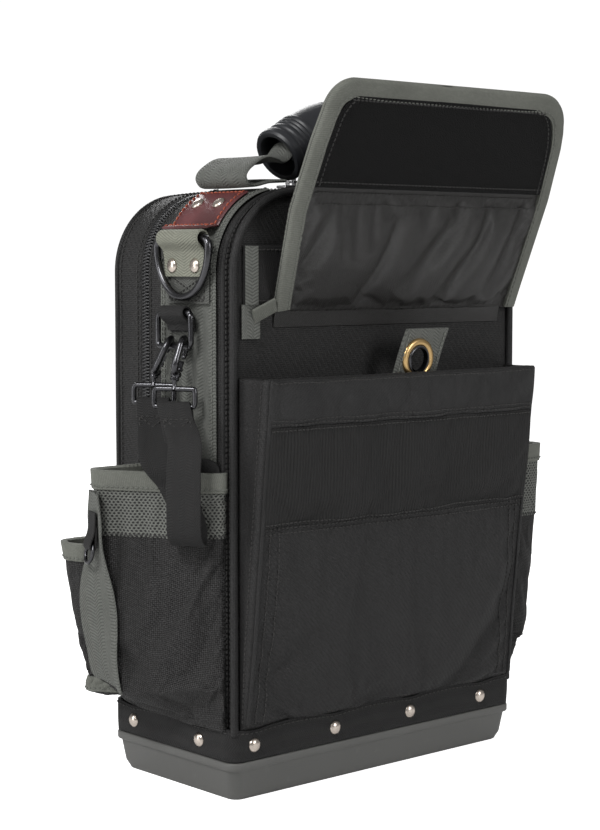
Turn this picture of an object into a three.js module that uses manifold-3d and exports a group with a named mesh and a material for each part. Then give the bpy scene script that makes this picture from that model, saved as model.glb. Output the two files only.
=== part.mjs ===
// Electrician tool pouch: an upright fabric tool bag on a moulded base, with a raised tablet-pocket flap.
// Frame: millimetres, +Z up, +X across the width, -Y towards the tablet pocket, +Y towards the zipped
// cover. The origin is the centre of the base's underside.
import * as THREE from "three";
import { mergeVertices } from "three/addons/utils/BufferGeometryUtils.js";
import Module from "manifold-3d";

const wasm = await Module();
wasm.setup();

// ---- driving dimensions: each size is set once, and places are told from the edges they belong to -------
const GAP = 0.3; // clearance between pieces that touch
const FABRIC = 3; // padded body fabric
const WALL = 2; // single pocket fabric
const TAPE = 2; // heavy webbing
const BODY_TOP = 349;
const SHOULDER = { radius: 46, sweep: 83 };
const BASE = { width: 232, depth: 114.4, rim: 23, lip: 5, taper: 6, corner: 8, wall: 3, floor: 3, upstand: 2.5 };
const BAND = { thickness: 1.8, height: 17 };
const RIVET = { head: 4, dome: 2.2, shank: 1.6, hole: 1.9, reach: 11, height: 32 };
const SEAM = { inset: 3.6, bead: 2.4 }; // front corner seam and its piping

// ---- the bag's own faces ------------------------------------------------------------------------------
const bodyX = BASE.width / 2 - BAND.thickness - 2 * GAP;
const bodyY = BASE.depth / 2 - BAND.thickness - 2 * GAP;
const bandBottom = BASE.rim + GAP;
const bandTop = bandBottom + BAND.height;
const panelBack = -(bodyY - FABRIC);
const panelFace = -bodyY - GAP;
const strapFace = bodyX + GAP + TAPE;
const upstandX = bodyX - FABRIC - GAP;
const upstandY = bodyY - FABRIC - GAP;

// ---- sizes of what is on it ---------------------------------------------------------------------------
const RIVET_ROW = { frontStart: 13.6 - bodyX, frontPitch: 62, sideStart: 28.8 - bodyY, sidePitch: 62 };
const GUSSET_BACK = bodyY - 32.1;
const ZIP = { half: 2.4, height: 2.4, start: bandTop + 8.7, sliderLength: 16, sliderWidth: 9, pullLength: 26 };
const BAIL = { half: 1.6, span: 3.2, post: 1, rise: 4.8 };
const PULL = { arm: 1.4, width: 7.4, thickness: 1.4, paddle: 8 };
const COVER = { bottom: bandTop + 5.7 };
const TABLET_POCKET = { halfWidth: bodyX - SEAM.inset, bottom: bandTop + 1.2, top: BODY_TOP - 109, foot: 5.2, mouth: 25.7 };
const HEM = { height: 26, thickness: 1.2 };
const LOOP = { bottom: TABLET_POCKET.top - 83, top: TABLET_POCKET.top - HEM.height - 2 * GAP, thickness: 1.4 };
const PANEL_BAND = { bottom: BODY_TOP - 68.5, top: BODY_TOP - 35, halfWidth: bodyX - 7.1 };
const FLAP = { hinge: BODY_TOP - 72, stand: 2.7, centre: 6, base: 103, tip: 97, length: 135, fold: 46, lean: 22, corner: 28 };
const FLAP_PLY = { thickness: 2.4, hookStart: 74, hookEnd: 128, hookInset: 9, hookThickness: 1.3 };
const TAB = { width: 34, foot: TABLET_POCKET.top - 18, tuck: 2.6, length: 44, slant: 17, lean: 5.9 };
const GROMMET = { outer: 12.2, hole: 8, up: 26, flange: 0.8, lap: 1.8 };
const STRAP = { centre: -17, width: 50, bottom: bandTop + 25.7, endX: bodyX - 39.6 };
const LEATHER = { width: 42, thickness: 1.8, toX: bodyX - 27.6 };
const RING_TAB = { width: 38, centre: -20, bottom: BODY_TOP - 68, bar: BODY_TOP - 31, thickness: 2.2, roll: 5 };
const D_RING = { width: 46.5, drop: 33, wire: 2.2 };
const SMALL_TAB = { width: 23, centre: -15, bottom: BODY_TOP - 84, bar: BODY_TOP - 72.5, thickness: 1.6, roll: 3.8 };
const SMALL_RING = { width: 30, drop: 19.5, wire: 1.7, corner: 4 };
const HOOK = { wire: 1.8, loop: 6.6, sag: 1.7, spine: 16, turn: 38, ball: 1.9 };
const FRONT_HOOK = { y: -23, tilt: -4, lean: 22 };
const REAR_HOOK = { y: -8.5, tilt: 26, lean: 10 };
const EYE = { width: 27, height: 13, wire: 1.5, stem: 5 };
const LOOP_STRAP = { width: 20, thickness: 1.6, roll: 3.4, rest: 14.4, restY: -32.6 };
const GRIP = { half: 48, end: BODY_TOP + 17, crown: 19, radius: 17, bore: 12.5 };
const HANDLE_WEB = { width: 46, thickness: 2.4 };
const SIDE_POCKET = { top: 187, bottom: bandTop + 0.7, front: 5.8 - bodyY, rear: GUSSET_BACK - 1.2 };
const LEFT_BULGE = { reach: 44, frontReach: 3, low: 0.8 };
const RIGHT_BULGE = { reach: 40, frontReach: 36, low: 0.74 };
const REAR_POCKET = { bottom: bandTop + 9.7, top: 139, reach: 22, foot: 8, halfWidth: bodyX - 17.6 };
const CORNER_POCKET = { bottom: bandTop + 8.2, top: 140, side: bodyY - 21.8, out: 37, back: 13, low: 0.55 };
const PANEL = { thickness: 2.5, setback: 3, bottom: bandTop + 0.7 };
const LOWER_ROW = { halfWidth: bodyX - 13.6, bottom: bandTop + 3.7, top: 150, depth: 26, cells: 4 };
const UPPER_ROW = { halfWidth: bodyX - 21.6, bottom: 168, top: 252, depth: 16, cells: 3 };

// ---- sizes that follow from them ----------------------------------------------------------------------
const coverFront = GUSSET_BACK + 4 * GAP + 2 * ZIP.half;
const degree = Math.PI / 180;

// ---- materials ----------------------------------------------------------------------------------------
function finish(color, roughness, metalness = 0) {
  return { color, roughness, metalness };
}

const FINISHES = {
  base_plastic: finish(0x8a8a86, 0.55),
  black_fabric: finish(0x2c2b2c, 0.85),
  lining_fabric: finish(0x3b3936, 0.5),
  grey_webbing: finish(0x6a6b66, 0.85),
  black_webbing: finish(0x222222, 0.8),
  hook_tape: finish(0x141414, 0.95),
  loop_tape: finish(0x1d1c1b, 0.9),
  leather: finish(0x5a2f30, 0.5),
  rivet_metal: finish(0xc9bdb0, 0.3, 1),
  dark_metal: finish(0x3a3b3d, 0.3, 1),
  brass: finish(0xb9904f, 0.35, 1),
  zipper_coil: finish(0x1a1a1b, 0.35),
  slider_metal: finish(0xb8b8b8, 0.3, 1),
  grip_rubber: finish(0x1b1c1f, 0.45),
};

const pouch = new THREE.Group();

function add(name, geometry, slot, parent = pouch) {
  const mesh = new THREE.Mesh(geometry, new THREE.MeshStandardMaterial(FINISHES[slot]));
  mesh.name = name;
  parent.add(mesh);
  return mesh;
}

// ---- solids from vertices -----------------------------------------------------------------------------
function signedVolume(vertices, faces) {
  let volume = 0;
  for (const [a, b, c] of faces) {
    volume += vertices[a].dot(vertices[b].clone().cross(vertices[c]));
  }
  return volume / 6;
}

function closedGeometry(vertices, faces) {
  const outward = signedVolume(vertices, faces) > 0;
  const positions = [];
  for (const [a, b, c] of faces) {
    const corners = outward ? [a, b, c] : [a, c, b];
    for (const corner of corners) {
      positions.push(vertices[corner].x, vertices[corner].y, vertices[corner].z);
    }
  }
  const geometry = new THREE.BufferGeometry();
  geometry.setAttribute("position", new THREE.Float32BufferAttribute(positions, 3));
  geometry.computeVertexNormals();
  return geometry;
}

// Rings of equal point counts joined one after another, with flat ends or joined end to end.
function skin(rings, closed = false) {
  const vertices = rings.flat();
  const count = rings[0].length;
  const faces = [];
  const last = closed ? rings.length : rings.length - 1;
  for (let i = 0; i < last; i += 1) {
    const here = i * count;
    const next = ((i + 1) % rings.length) * count;
    for (let j = 0; j < count; j += 1) {
      const k = (j + 1) % count;
      faces.push([here + j, here + k, next + k]);
      faces.push([here + j, next + k, next + j]);
    }
  }
  if (!closed) {
    const end = (rings.length - 1) * count;
    for (let j = 1; j < count - 1; j += 1) {
      faces.push([0, j + 1, j]);
      faces.push([end, end + j, end + j + 1]);
    }
  }
  return closedGeometry(vertices, faces);
}

// A section carried along points; "up" is the section's second axis, square to the route.
function sweep(points, section, up, closed = false) {
  const rings = points.map((point, i) => {
    const before = points[closed ? (i + points.length - 1) % points.length : Math.max(i - 1, 0)];
    const after = points[closed ? (i + 1) % points.length : Math.min(i + 1, points.length - 1)];
    const along = after.clone().sub(before).normalize();
    const side = along.clone().cross(up).normalize();
    const rise = side.clone().cross(along).normalize();
    return section.map(([a, b]) => point.clone().addScaledVector(side, a).addScaledVector(rise, b));
  });
  return skin(rings, closed);
}

function circle(radius, sides) {
  return Array.from({ length: sides }, (_, i) => {
    const angle = (2 * Math.PI * i) / sides;
    return [radius * Math.cos(angle), radius * Math.sin(angle)];
  });
}

function flatSection(thickness, width) {
  return [
    [-thickness / 2, -width / 2],
    [thickness / 2, -width / 2],
    [thickness / 2, width / 2],
    [-thickness / 2, width / 2],
  ];
}

function toSolid(geometry) {
  const bare = new THREE.BufferGeometry();
  const flat = geometry.index ? geometry.toNonIndexed() : geometry;
  bare.setAttribute("position", flat.getAttribute("position").clone());
  const merged = mergeVertices(bare, 1e-4);
  return new wasm.Manifold(
    new wasm.Mesh({
      numProp: 3,
      vertProperties: new Float32Array(merged.getAttribute("position").array),
      triVerts: new Uint32Array(merged.index.array),
    }),
  );
}

function toGeometry(manifold) {
  const mesh = manifold.getMesh();
  const indexed = new THREE.BufferGeometry();
  indexed.setAttribute("position", new THREE.Float32BufferAttribute(mesh.vertProperties, mesh.numProp));
  indexed.setIndex(new THREE.Uint32BufferAttribute(mesh.triVerts, 1));
  const geometry = indexed.toNonIndexed();
  geometry.computeVertexNormals();
  return geometry;
}

function cut(geometry, ...tools) {
  return toGeometry(tools.reduce((body, tool) => body.subtract(toSolid(tool)), toSolid(geometry)));
}

function join(geometry, ...others) {
  return toGeometry(others.reduce((body, other) => body.add(toSolid(other)), toSolid(geometry)));
}

// ---- prisms: outlines are given in the two axes named first -------------------------------------------
function prism(outline, length) {
  const shape = new THREE.Shape(outline.map(([a, b]) => new THREE.Vector2(a, b)));
  return new THREE.ExtrudeGeometry(shape, { depth: length, bevelEnabled: false, steps: 1 });
}

function alongX(outlineYZ, from, to) {
  const turn = new THREE.Matrix4().makeBasis(
    new THREE.Vector3(0, 1, 0),
    new THREE.Vector3(0, 0, 1),
    new THREE.Vector3(1, 0, 0),
  );
  return prism(outlineYZ, to - from).applyMatrix4(turn).translate(from, 0, 0);
}

function alongY(outlineXZ, from, to) {
  return prism(outlineXZ, to - from).rotateX(Math.PI / 2).translate(0, to, 0);
}

function alongZ(outlineXY, from, to) {
  return prism(outlineXY, to - from).translate(0, 0, from);
}

function block([x0, x1], [y0, y1], [z0, z1]) {
  const box = new THREE.BoxGeometry(x1 - x0, y1 - y0, z1 - z0);
  return box.translate((x0 + x1) / 2, (y0 + y1) / 2, (z0 + z1) / 2);
}

function roundedRect(halfX, halfY, corner, steps = 4) {
  const outline = [];
  for (let quarter = 0; quarter < 4; quarter += 1) {
    const centreX = (halfX - corner) * (quarter === 0 || quarter === 3 ? 1 : -1);
    const centreY = (halfY - corner) * (quarter < 2 ? 1 : -1);
    for (let i = 0; i <= steps; i += 1) {
      const angle = (quarter + i / steps) * (Math.PI / 2);
      outline.push([centreX + corner * Math.cos(angle), centreY + corner * Math.sin(angle)]);
    }
  }
  return outline;
}

// Half of the bag's arched outline in X and Z, from the foot of the +X side to the middle of the top,
// moved outwards by "offset": straight side, shoulder arc, then a wide shallow arc across the top.
function archHalf(offset, bottom, shoulderSteps = 8, topSteps = 4) {
  const sweepAngle = SHOULDER.sweep * degree;
  const corner = SHOULDER.radius + offset;
  const centreX = bodyX - SHOULDER.radius;
  const crownRadius = centreX / Math.cos(sweepAngle) + corner;
  const cornerZ = BODY_TOP + offset - crownRadius + (crownRadius - corner) * Math.sin(sweepAngle);
  const crownZ = BODY_TOP + offset - crownRadius;
  const points = [[bodyX + offset, bottom]];
  for (let i = 0; i <= shoulderSteps; i += 1) {
    const angle = (sweepAngle * i) / shoulderSteps;
    points.push([centreX + corner * Math.cos(angle), cornerZ + corner * Math.sin(angle)]);
  }
  for (let i = 1; i <= topSteps; i += 1) {
    const angle = sweepAngle + ((Math.PI / 2 - sweepAngle) * i) / topSteps;
    points.push([crownRadius * Math.cos(angle), crownZ + crownRadius * Math.sin(angle)]);
  }
  return points;
}

function arch(offset, bottom, shoulderSteps, topSteps) {
  const right = archHalf(offset, bottom, shoulderSteps, topSteps);
  const left = right.slice(0, -1).map(([x, z]) => [-x, z]);
  return right.concat(left.reverse());
}

function archRing(outer, inner, bottom) {
  return arch(outer, bottom).concat(arch(inner, bottom).reverse());
}

const crownCentre = BODY_TOP - ((bodyX - SHOULDER.radius) / Math.cos(SHOULDER.sweep * degree) + SHOULDER.radius);
const bodyEnvelope = block(
  [-bodyX - GAP, bodyX + GAP],
  [-bodyY - GAP, bodyY + GAP],
  [-1, BODY_TOP],
);

// ---- rivets: one spot list gives the heads, shanks and every hole -------------------------------------
function rivetSpots() {
  const spots = [];
  for (let i = 0; i < 4; i += 1) {
    const across = RIVET_ROW.frontStart + RIVET_ROW.frontPitch * i;
    spots.push({ name: `base_rivet_front_${i + 1}`, x: across, y: -(bodyY + GAP + BAND.thickness), turn: 0 });
    spots.push({ name: `base_rivet_back_${i + 1}`, x: -across, y: bodyY + GAP + BAND.thickness, turn: 180 });
  }
  for (let i = 0; i < 2; i += 1) {
    const along = RIVET_ROW.sideStart + RIVET_ROW.sidePitch * i;
    spots.push({ name: `base_rivet_left_${i + 1}`, x: -(bodyX + GAP + BAND.thickness), y: along, turn: -90 });
    spots.push({ name: `base_rivet_right_${i + 1}`, x: bodyX + GAP + BAND.thickness, y: along, turn: 90 });
  }
  return spots;
}

// A round form whose axis runs from inside the bag out through the band at a rivet's spot.
function atRivet(geometry, spot) {
  const centred = geometry.clone().rotateX(Math.PI).rotateZ(spot.turn * degree);
  return centred.translate(spot.x, spot.y, RIVET.height);
}

const spots = rivetSpots();
const holeTool = new THREE.CylinderGeometry(RIVET.hole, RIVET.hole, 2 * RIVET.reach, 8);
const rivetHoles = spots.map((spot) => atRivet(holeTool, spot));
const rivetProfile = [
  [0, -RIVET.reach + 1],
  [RIVET.shank, -RIVET.reach + 1],
  [RIVET.shank, GAP],
  [RIVET.head, GAP],
  [RIVET.head * 0.82, RIVET.dome * 0.6],
  [RIVET.head * 0.45, RIVET.dome * 0.93],
  [0, RIVET.dome],
];

function buildRivets() {
  const profile = rivetProfile.map(([radius, out]) => new THREE.Vector2(radius, out));
  const rivet = new THREE.LatheGeometry(profile, 10);
  for (const spot of spots) {
    add(spot.name, atRivet(rivet, spot), "rivet_metal");
  }
}

// ---- base ---------------------------------------------------------------------------------------------
function buildBase() {
  const levels = [
    [0, BASE.taper],
    [BASE.lip, BASE.taper * 0.65],
    [BASE.rim - BASE.lip, BASE.taper * 0.3],
    [BASE.rim - BASE.lip + 0.8, 0],
    [BASE.rim, 0],
  ];
  const rings = levels.map(([z, inset]) => {
    const outline = roundedRect(BASE.width / 2 - inset, BASE.depth / 2 - inset, BASE.corner);
    return outline.map(([x, y]) => new THREE.Vector3(x, y, z));
  });
  const inset = BASE.taper + BASE.wall;
  const lowHollow = roundedRect(BASE.width / 2 - inset, BASE.depth / 2 - inset, BASE.corner);
  const thin = BASE.upstand;
  const tub = cut(
    join(skin(rings), alongZ(roundedRect(upstandX, upstandY, SEAM.inset), BASE.rim - 2, bandTop - GAP)),
    alongZ(lowHollow, BASE.floor, BASE.rim - BASE.wall),
    alongZ(roundedRect(upstandX - thin, upstandY - thin, SEAM.inset), BASE.floor + 1, bandTop + 5),
    ...rivetHoles,
  );
  add("base_tub", tub, "base_plastic");

  const outer = roundedRect(bodyX + GAP + BAND.thickness, bodyY + GAP + BAND.thickness, SEAM.inset + 2);
  const inner = roundedRect(bodyX + GAP, bodyY + GAP, SEAM.inset);
  const band = cut(alongZ(outer, bandBottom, bandTop), alongZ(inner, 0, bandTop + 5), ...rivetHoles);
  add("base_band", band, "black_webbing");

  const cuffTop = COVER.bottom - 2;
  const cuff = cut(
    alongZ(roundedRect(bodyX, bodyY, SEAM.inset), bandBottom, cuffTop),
    alongZ(roundedRect(bodyX - FABRIC, bodyY - FABRIC, SEAM.inset / 2), 0, cuffTop + 5),
    block([-BASE.width, BASE.width], [-BASE.depth, GUSSET_BACK + GAP], [0, cuffTop + 5]),
    ...rivetHoles,
  );
  add("back_cuff", cuff, "black_fabric");
}

// ---- body ---------------------------------------------------------------------------------------------
function buildBody() {
  const panel = alongY(arch(-SEAM.inset, bandBottom), -bodyY, panelBack);
  add("front_panel", cut(panel, ...rivetHoles), "black_fabric");

  const gusset = alongY(archRing(0, -FABRIC, bandBottom), -(bodyY - SEAM.inset), GUSSET_BACK);
  add("gusset_shell", cut(gusset, ...rivetHoles), "black_fabric");

  const beadPath = arch(-0.6, bandTop + GAP, 6, 3).map(([x, z]) => new THREE.Vector3(x, -bodyY + 0.3, z));
  add("front_piping", sweep(beadPath, circle(SEAM.bead, 6), new THREE.Vector3(0, 1, 0)), "black_webbing");

  const dividerFront = panelBack + PANEL.setback;
  const dividerBack = dividerFront + PANEL.thickness;
  const divider = alongY(arch(-FABRIC - 2 * GAP, PANEL.bottom, 5, 2), dividerFront, dividerBack);
  add("tool_panel", divider, "lining_fabric");

  add("tool_pocket_lower", pocketRow(LOWER_ROW, dividerBack + GAP), "black_fabric");
  add("tool_pocket_upper", pocketRow(UPPER_ROW, dividerBack + GAP), "black_fabric");
}

// A row of open-topped cells standing on the tool panel.
function pocketRow(row, back) {
  const front = back + row.depth;
  const pitch = (2 * row.halfWidth - WALL) / row.cells;
  const cells = Array.from({ length: row.cells }, (_, i) => {
    const left = -row.halfWidth + WALL + pitch * i;
    return block([left, left + pitch - WALL], [back - 5, front - WALL], [row.bottom + WALL, row.top + 5]);
  });
  return cut(block([-row.halfWidth, row.halfWidth], [back, front], [row.bottom, row.top]), ...cells);
}

// ---- tablet pocket ------------------------------------------------------------------------------------
function tabletFace(z) {
  const share = (z - TABLET_POCKET.bottom) / (TABLET_POCKET.top - TABLET_POCKET.bottom);
  return panelFace - TABLET_POCKET.foot - (TABLET_POCKET.mouth - TABLET_POCKET.foot) * share;
}

function faceLayer(bottom, top, thickness) {
  return [
    [tabletFace(bottom) - GAP - thickness, bottom],
    [tabletFace(top) - GAP - thickness, top],
    [tabletFace(top) - GAP, top],
    [tabletFace(bottom) - GAP, bottom],
  ];
}

function buildTabletPocket() {
  const { bottom, top, halfWidth } = TABLET_POCKET;
  const outer = [[panelFace, bottom], [tabletFace(bottom), bottom], [tabletFace(top), top], [panelFace, top]];
  const floorZ = bottom + WALL;
  const mouthZ = top + 5;
  const inner = [
    [panelFace + 5, floorZ],
    [tabletFace(floorZ) + WALL, floorZ],
    [tabletFace(mouthZ) + WALL, mouthZ],
    [panelFace + 5, mouthZ],
  ];
  const bag = alongX(outer, -halfWidth, halfWidth);
  add("tablet_pocket", cut(bag, alongX(inner, -halfWidth + WALL, halfWidth - WALL)), "black_fabric");

  const hem = alongX(faceLayer(top - HEM.height, top, HEM.thickness), -halfWidth, halfWidth);
  add("pocket_hem", hem, "black_fabric");
  const loop = alongX(faceLayer(LOOP.bottom, LOOP.top, LOOP.thickness), -halfWidth, halfWidth);
  add("loop_band", loop, "loop_tape");
  const band = [[-PANEL_BAND.halfWidth, PANEL_BAND.halfWidth], [panelFace - TAPE, panelFace]];
  add("panel_webbing", block(...band, [PANEL_BAND.bottom, PANEL_BAND.top]), "black_webbing");
}

// The grommet tab stands in its own turned group, in front of its foot on the pocket's inner face.
function buildGrommetTab() {
  const group = new THREE.Group();
  const lip = TAPE / 2 + GAP / 3;
  const proud = lip + GROMMET.flange;
  const inside = tabletFace(TAB.foot) + WALL + 2 * GAP + proud;
  group.position.set(0, inside, TAB.foot);
  group.rotation.set(TAB.lean * degree, 0, 0);
  pouch.add(group);
  const half = TAB.width / 2;
  const shift = (TAB.length + 6) * Math.tan(TAB.slant * degree);
  const outline = [[-half, -TAB.tuck], [half, -TAB.tuck], [half + shift, TAB.length], [-half + shift, TAB.length]];
  const centreX = GROMMET.up * Math.tan(TAB.slant * degree);
  const bore = new THREE.CylinderGeometry(GROMMET.hole, GROMMET.hole, 20, 16).translate(centreX, 0, GROMMET.up);
  const tab = cut(alongY(outline, -TAPE / 2, TAPE / 2), bore);
  add("grommet_tab", tab, "grey_webbing", group);

  const ring = [
    [GROMMET.hole - GROMMET.lap, -proud],
    [GROMMET.outer - GROMMET.flange, -proud],
    [GROMMET.outer, -lip],
    [GROMMET.hole - GAP / 2, -lip],
    [GROMMET.hole - GAP / 2, lip],
    [GROMMET.outer, lip],
    [GROMMET.outer - GROMMET.flange, proud],
    [GROMMET.hole - GROMMET.lap, proud],
  ].map(([radius, out]) => new THREE.Vector2(radius, out));
  ring.push(ring[0].clone());
  const grommet = new THREE.LatheGeometry(ring, 16).translate(centreX, 0, GROMMET.up);
  add("grommet_ring", grommet, "brass", group);
}

// ---- flap: built upright in a group whose origin is its hinge line, then leaned forward ---------------
function flapHalf(s) {
  return FLAP.base + (FLAP.tip - FLAP.base) * (s / FLAP.length);
}

function flapTip(from, inset) {
  const half = flapHalf(FLAP.length) - inset;
  const top = FLAP.length - inset;
  const corner = FLAP.corner - inset;
  const side = flapHalf(from) - inset;
  const outline = [[side, from]];
  for (let i = 0; i <= 5; i += 1) {
    const angle = (i / 5) * (Math.PI / 2);
    outline.push([half - corner + corner * Math.cos(angle), top - corner + corner * Math.sin(angle)]);
  }
  return outline.concat(outline.map(([x, z]) => [-x, z]).reverse());
}

function buildFlap() {
  const group = new THREE.Group();
  group.position.set(FLAP.centre, panelFace - FLAP.stand, FLAP.hinge);
  group.rotation.set(FLAP.lean * degree, 0, 0);
  pouch.add(group);
  const half = FLAP_PLY.thickness / 2;
  const foldGap = 2 * GAP;
  const lower = [
    [-flapHalf(0), foldGap],
    [flapHalf(0), foldGap],
    [flapHalf(FLAP.fold), FLAP.fold - foldGap],
    [-flapHalf(FLAP.fold), FLAP.fold - foldGap],
  ];
  add("flap_lower", alongY(lower, -half, half), "lining_fabric", group);
  add("flap_upper", alongY(flapTip(FLAP.fold + foldGap, 0), -half, half), "black_fabric", group);

  const hookOutline = flapTip(FLAP_PLY.hookStart, FLAP_PLY.hookInset);
  const face = -half - GAP;
  const hook = alongY(hookOutline, face - FLAP_PLY.hookThickness, face);
  add("flap_hook_panel", hook, "hook_tape", group);
}

// ---- side straps, leather and rings -------------------------------------------------------------------
// A stretch of the arch from height "bottom" up over the shoulder to "endX" from the middle.
function archStretch(offset, bottom, endX) {
  const straightEnd = BODY_TOP - 2 * SHOULDER.radius;
  const points = archHalf(offset, Math.min(bottom, straightEnd), 12, 4);
  return points.filter(([x, z]) => x >= endX && z >= bottom);
}

function shoulderBand(side, offset, thickness, bottom, endX, width) {
  const outer = archStretch(offset + thickness, bottom, endX);
  const inner = archStretch(offset, bottom, endX);
  const outline = outer.concat(inner.reverse()).map(([x, z]) => [side * x, z]);
  return alongY(outline, STRAP.centre - width / 2, STRAP.centre + width / 2);
}

// A flat tab with its top rolled round a ring's bar.
function ringTab(side, size, innerX, barX, barRadius) {
  const middle = size.centre;
  const plateTop = size.bar - size.roll * 0.6;
  const outer = innerX + size.thickness;
  const roll = new THREE.CylinderGeometry(size.roll, size.roll, size.width, 12).translate(barX, middle, size.bar);
  const link = block([innerX, barX], [middle - size.width / 2, middle + size.width / 2], [plateTop - 1, size.bar]);
  const sheet = block([innerX, outer], [middle - size.width / 2, middle + size.width / 2], [size.bottom, size.bar]);
  const bore = new THREE.CylinderGeometry(barRadius, barRadius, size.width + 9, 10).translate(barX, middle, size.bar);
  const tab = cut(join(sheet, link, roll), bore);
  return side > 0 ? tab : toGeometry(toSolid(tab).mirror([1, 0, 0]));
}

// A D-shaped wire ring hanging from its bar, in the plane x = constant.
function dRing(x, centreY, bar, size) {
  const half = size.width / 2;
  const corner = 5 * (half / 23);
  const points = [];
  for (let i = 0; i <= 12; i += 1) {
    const angle = (i / 12) * Math.PI;
    const y = centreY + half * Math.cos(angle);
    points.push(new THREE.Vector3(x, y, bar - corner - (size.drop - corner) * Math.sin(angle)));
  }
  for (let i = 1; i <= 3; i += 1) {
    const angle = Math.PI - (i / 3) * (Math.PI / 2);
    const y = centreY - half + corner + corner * Math.cos(angle);
    points.push(new THREE.Vector3(x, y, bar - corner + corner * Math.sin(angle)));
  }
  for (let i = 0; i < 3; i += 1) {
    const angle = Math.PI / 2 - (i / 3) * (Math.PI / 2);
    const y = centreY + half - corner + corner * Math.cos(angle);
    points.push(new THREE.Vector3(x, y, bar - corner + corner * Math.sin(angle)));
  }
  return sweep(points, circle(size.wire, 6), new THREE.Vector3(1, 0, 0), true);
}

// The small ring is a rounded rectangle, so that both hooks hang on a level bar.
function squareRing(x, centreY, bar, size) {
  const outline = roundedRect(size.width / 2, size.drop / 2, size.corner, 2);
  const points = outline.map(([y, z]) => new THREE.Vector3(x, centreY + y, bar - size.drop / 2 + z));
  return sweep(points, circle(size.wire, 6), new THREE.Vector3(1, 0, 0), true);
}

const tabInner = strapFace + GAP;
const ringX = tabInner + RING_TAB.thickness + GAP + D_RING.wire + 0.4;
const smallRingX = ringX + 2;

function buildSides() {
  for (const [side, word] of [[-1, "left"], [1, "right"]]) {
    const strap = shoulderBand(side, GAP, TAPE, STRAP.bottom, STRAP.endX, STRAP.width);
    add(`side_strap_${word}`, strap, "grey_webbing");
    const patchFoot = RING_TAB.bar + RING_TAB.roll + GAP;
    const patch = shoulderBand(side, TAPE + 2 * GAP, LEATHER.thickness, patchFoot, LEATHER.toX, LEATHER.width);
    add(`leather_patch_${word}`, patch, "leather");
    const tab = ringTab(side, RING_TAB, tabInner, ringX, D_RING.wire + GAP);
    add(`ring_tab_${word}`, tab, "grey_webbing");
    add(`d_ring_${word}`, dRing(side * ringX, RING_TAB.centre, RING_TAB.bar, D_RING), "dark_metal");
  }
}

// ---- tape-loop strap with its two snap hooks ----------------------------------------------------------
const smallBottom = SMALL_TAB.bar - SMALL_RING.drop;

// Hook profile in its own plane (h across, v up); the ring's wire passes through at the origin.
function hookPath() {
  const points = [];
  for (let i = 0; i <= 9; i += 1) {
    const angle = -0.15 * Math.PI + (i / 9) * 1.15 * Math.PI;
    points.push([HOOK.loop * Math.cos(angle), HOOK.loop * Math.sin(angle) - HOOK.sag]);
  }
  points.push([-HOOK.loop, -HOOK.spine + 4.5]);
  points.push([-HOOK.loop * 0.62, -HOOK.spine + 1]);
  points.push([0, -HOOK.spine]);
  return points;
}

// Hook body and gate in a turned group; returns the centre of the swivel's ball joint.
function buildHook(word, place) {
  const frame = new THREE.Group();
  frame.position.set(-smallRingX, place.y, smallBottom);
  frame.rotation.set(place.tilt * degree, place.lean * degree, HOOK.turn * degree);
  pouch.add(frame);
  const route = hookPath().map(([h, v]) => new THREE.Vector3(h, 0, v));
  const bill = sweep(route, circle(HOOK.wire, 6), new THREE.Vector3(0, 1, 0));
  const collar = new THREE.CylinderGeometry(3, 2.6, 5, 10).rotateX(Math.PI / 2).translate(0, 0, -HOOK.spine - 1.4);
  const joint = -HOOK.spine - 3.6;
  const socket = new THREE.SphereGeometry(HOOK.ball + GAP, 8, 6).translate(0, 0, joint);
  add(`hook_body_${word}`, cut(join(bill, collar), socket), "dark_metal", frame);

  const tipDrop = HOOK.sag + HOOK.loop * 0.47 + HOOK.wire + 2 * GAP;
  const tip = new THREE.Vector3(HOOK.loop * 0.86, 0, -tipDrop);
  const foot = new THREE.Vector3(3.1, 0, -HOOK.spine + 2.6 + GAP);
  const gate = sweep([foot, tip], flatSection(1.8, 2.8), new THREE.Vector3(0, 1, 0));
  add(`hook_gate_${word}`, gate, "dark_metal", frame);
  frame.updateMatrixWorld(true);
  return new THREE.Vector3(0, 0, joint).applyMatrix4(frame.matrixWorld);
}

// A rectangular eye hanging from its ball at "head", with its bar along "across"; returns the bar's middle.
function buildEye(word, head, across) {
  const down = new THREE.Vector3(0, 0, -1);
  const normal = across.clone().cross(down).normalize();
  const halfWidth = EYE.width / 2 - EYE.wire;
  const halfHeight = EYE.height / 2 - EYE.wire;
  const middle = EYE.stem + halfHeight;
  const points = roundedRect(halfWidth, halfHeight, 2.5, 2).map(([a, b]) =>
    head.clone().addScaledVector(across, a).addScaledVector(down, middle + b),
  );
  const wire = sweep(points, circle(EYE.wire, 6), normal, true);
  const post = new THREE.CylinderGeometry(1.2, 1.2, EYE.stem, 8).rotateX(Math.PI / 2);
  const stem = post.translate(head.x, head.y, head.z - EYE.stem / 2);
  const ball = new THREE.SphereGeometry(HOOK.ball, 8, 6).translate(head.x, head.y, head.z);
  add(`hook_eye_${word}`, join(wire, stem, ball), "dark_metal");
  return head.clone().addScaledVector(down, middle + halfHeight);
}

// The strap hangs from one eye, round the rolls it would carry, and back up to the other. Its route is
// told as steps out from the side pocket's slanted face, along that face, and down from the small ring.
const STRAP_ACROSS = new THREE.Vector3(-0.57, 0.82, 0).normalize();
const STRAP_ROUTE = [
  [13, -2, 51],
  [18, -3, 69],
  [21.5, -4, 89],
  [20.5, -4, 102],
  [12.5, -4, 109],
  [5, -3, 106.5],
  [3.4, -1, 95],
  [3.6, 6, 79],
  [5, 17, 63],
];

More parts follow.
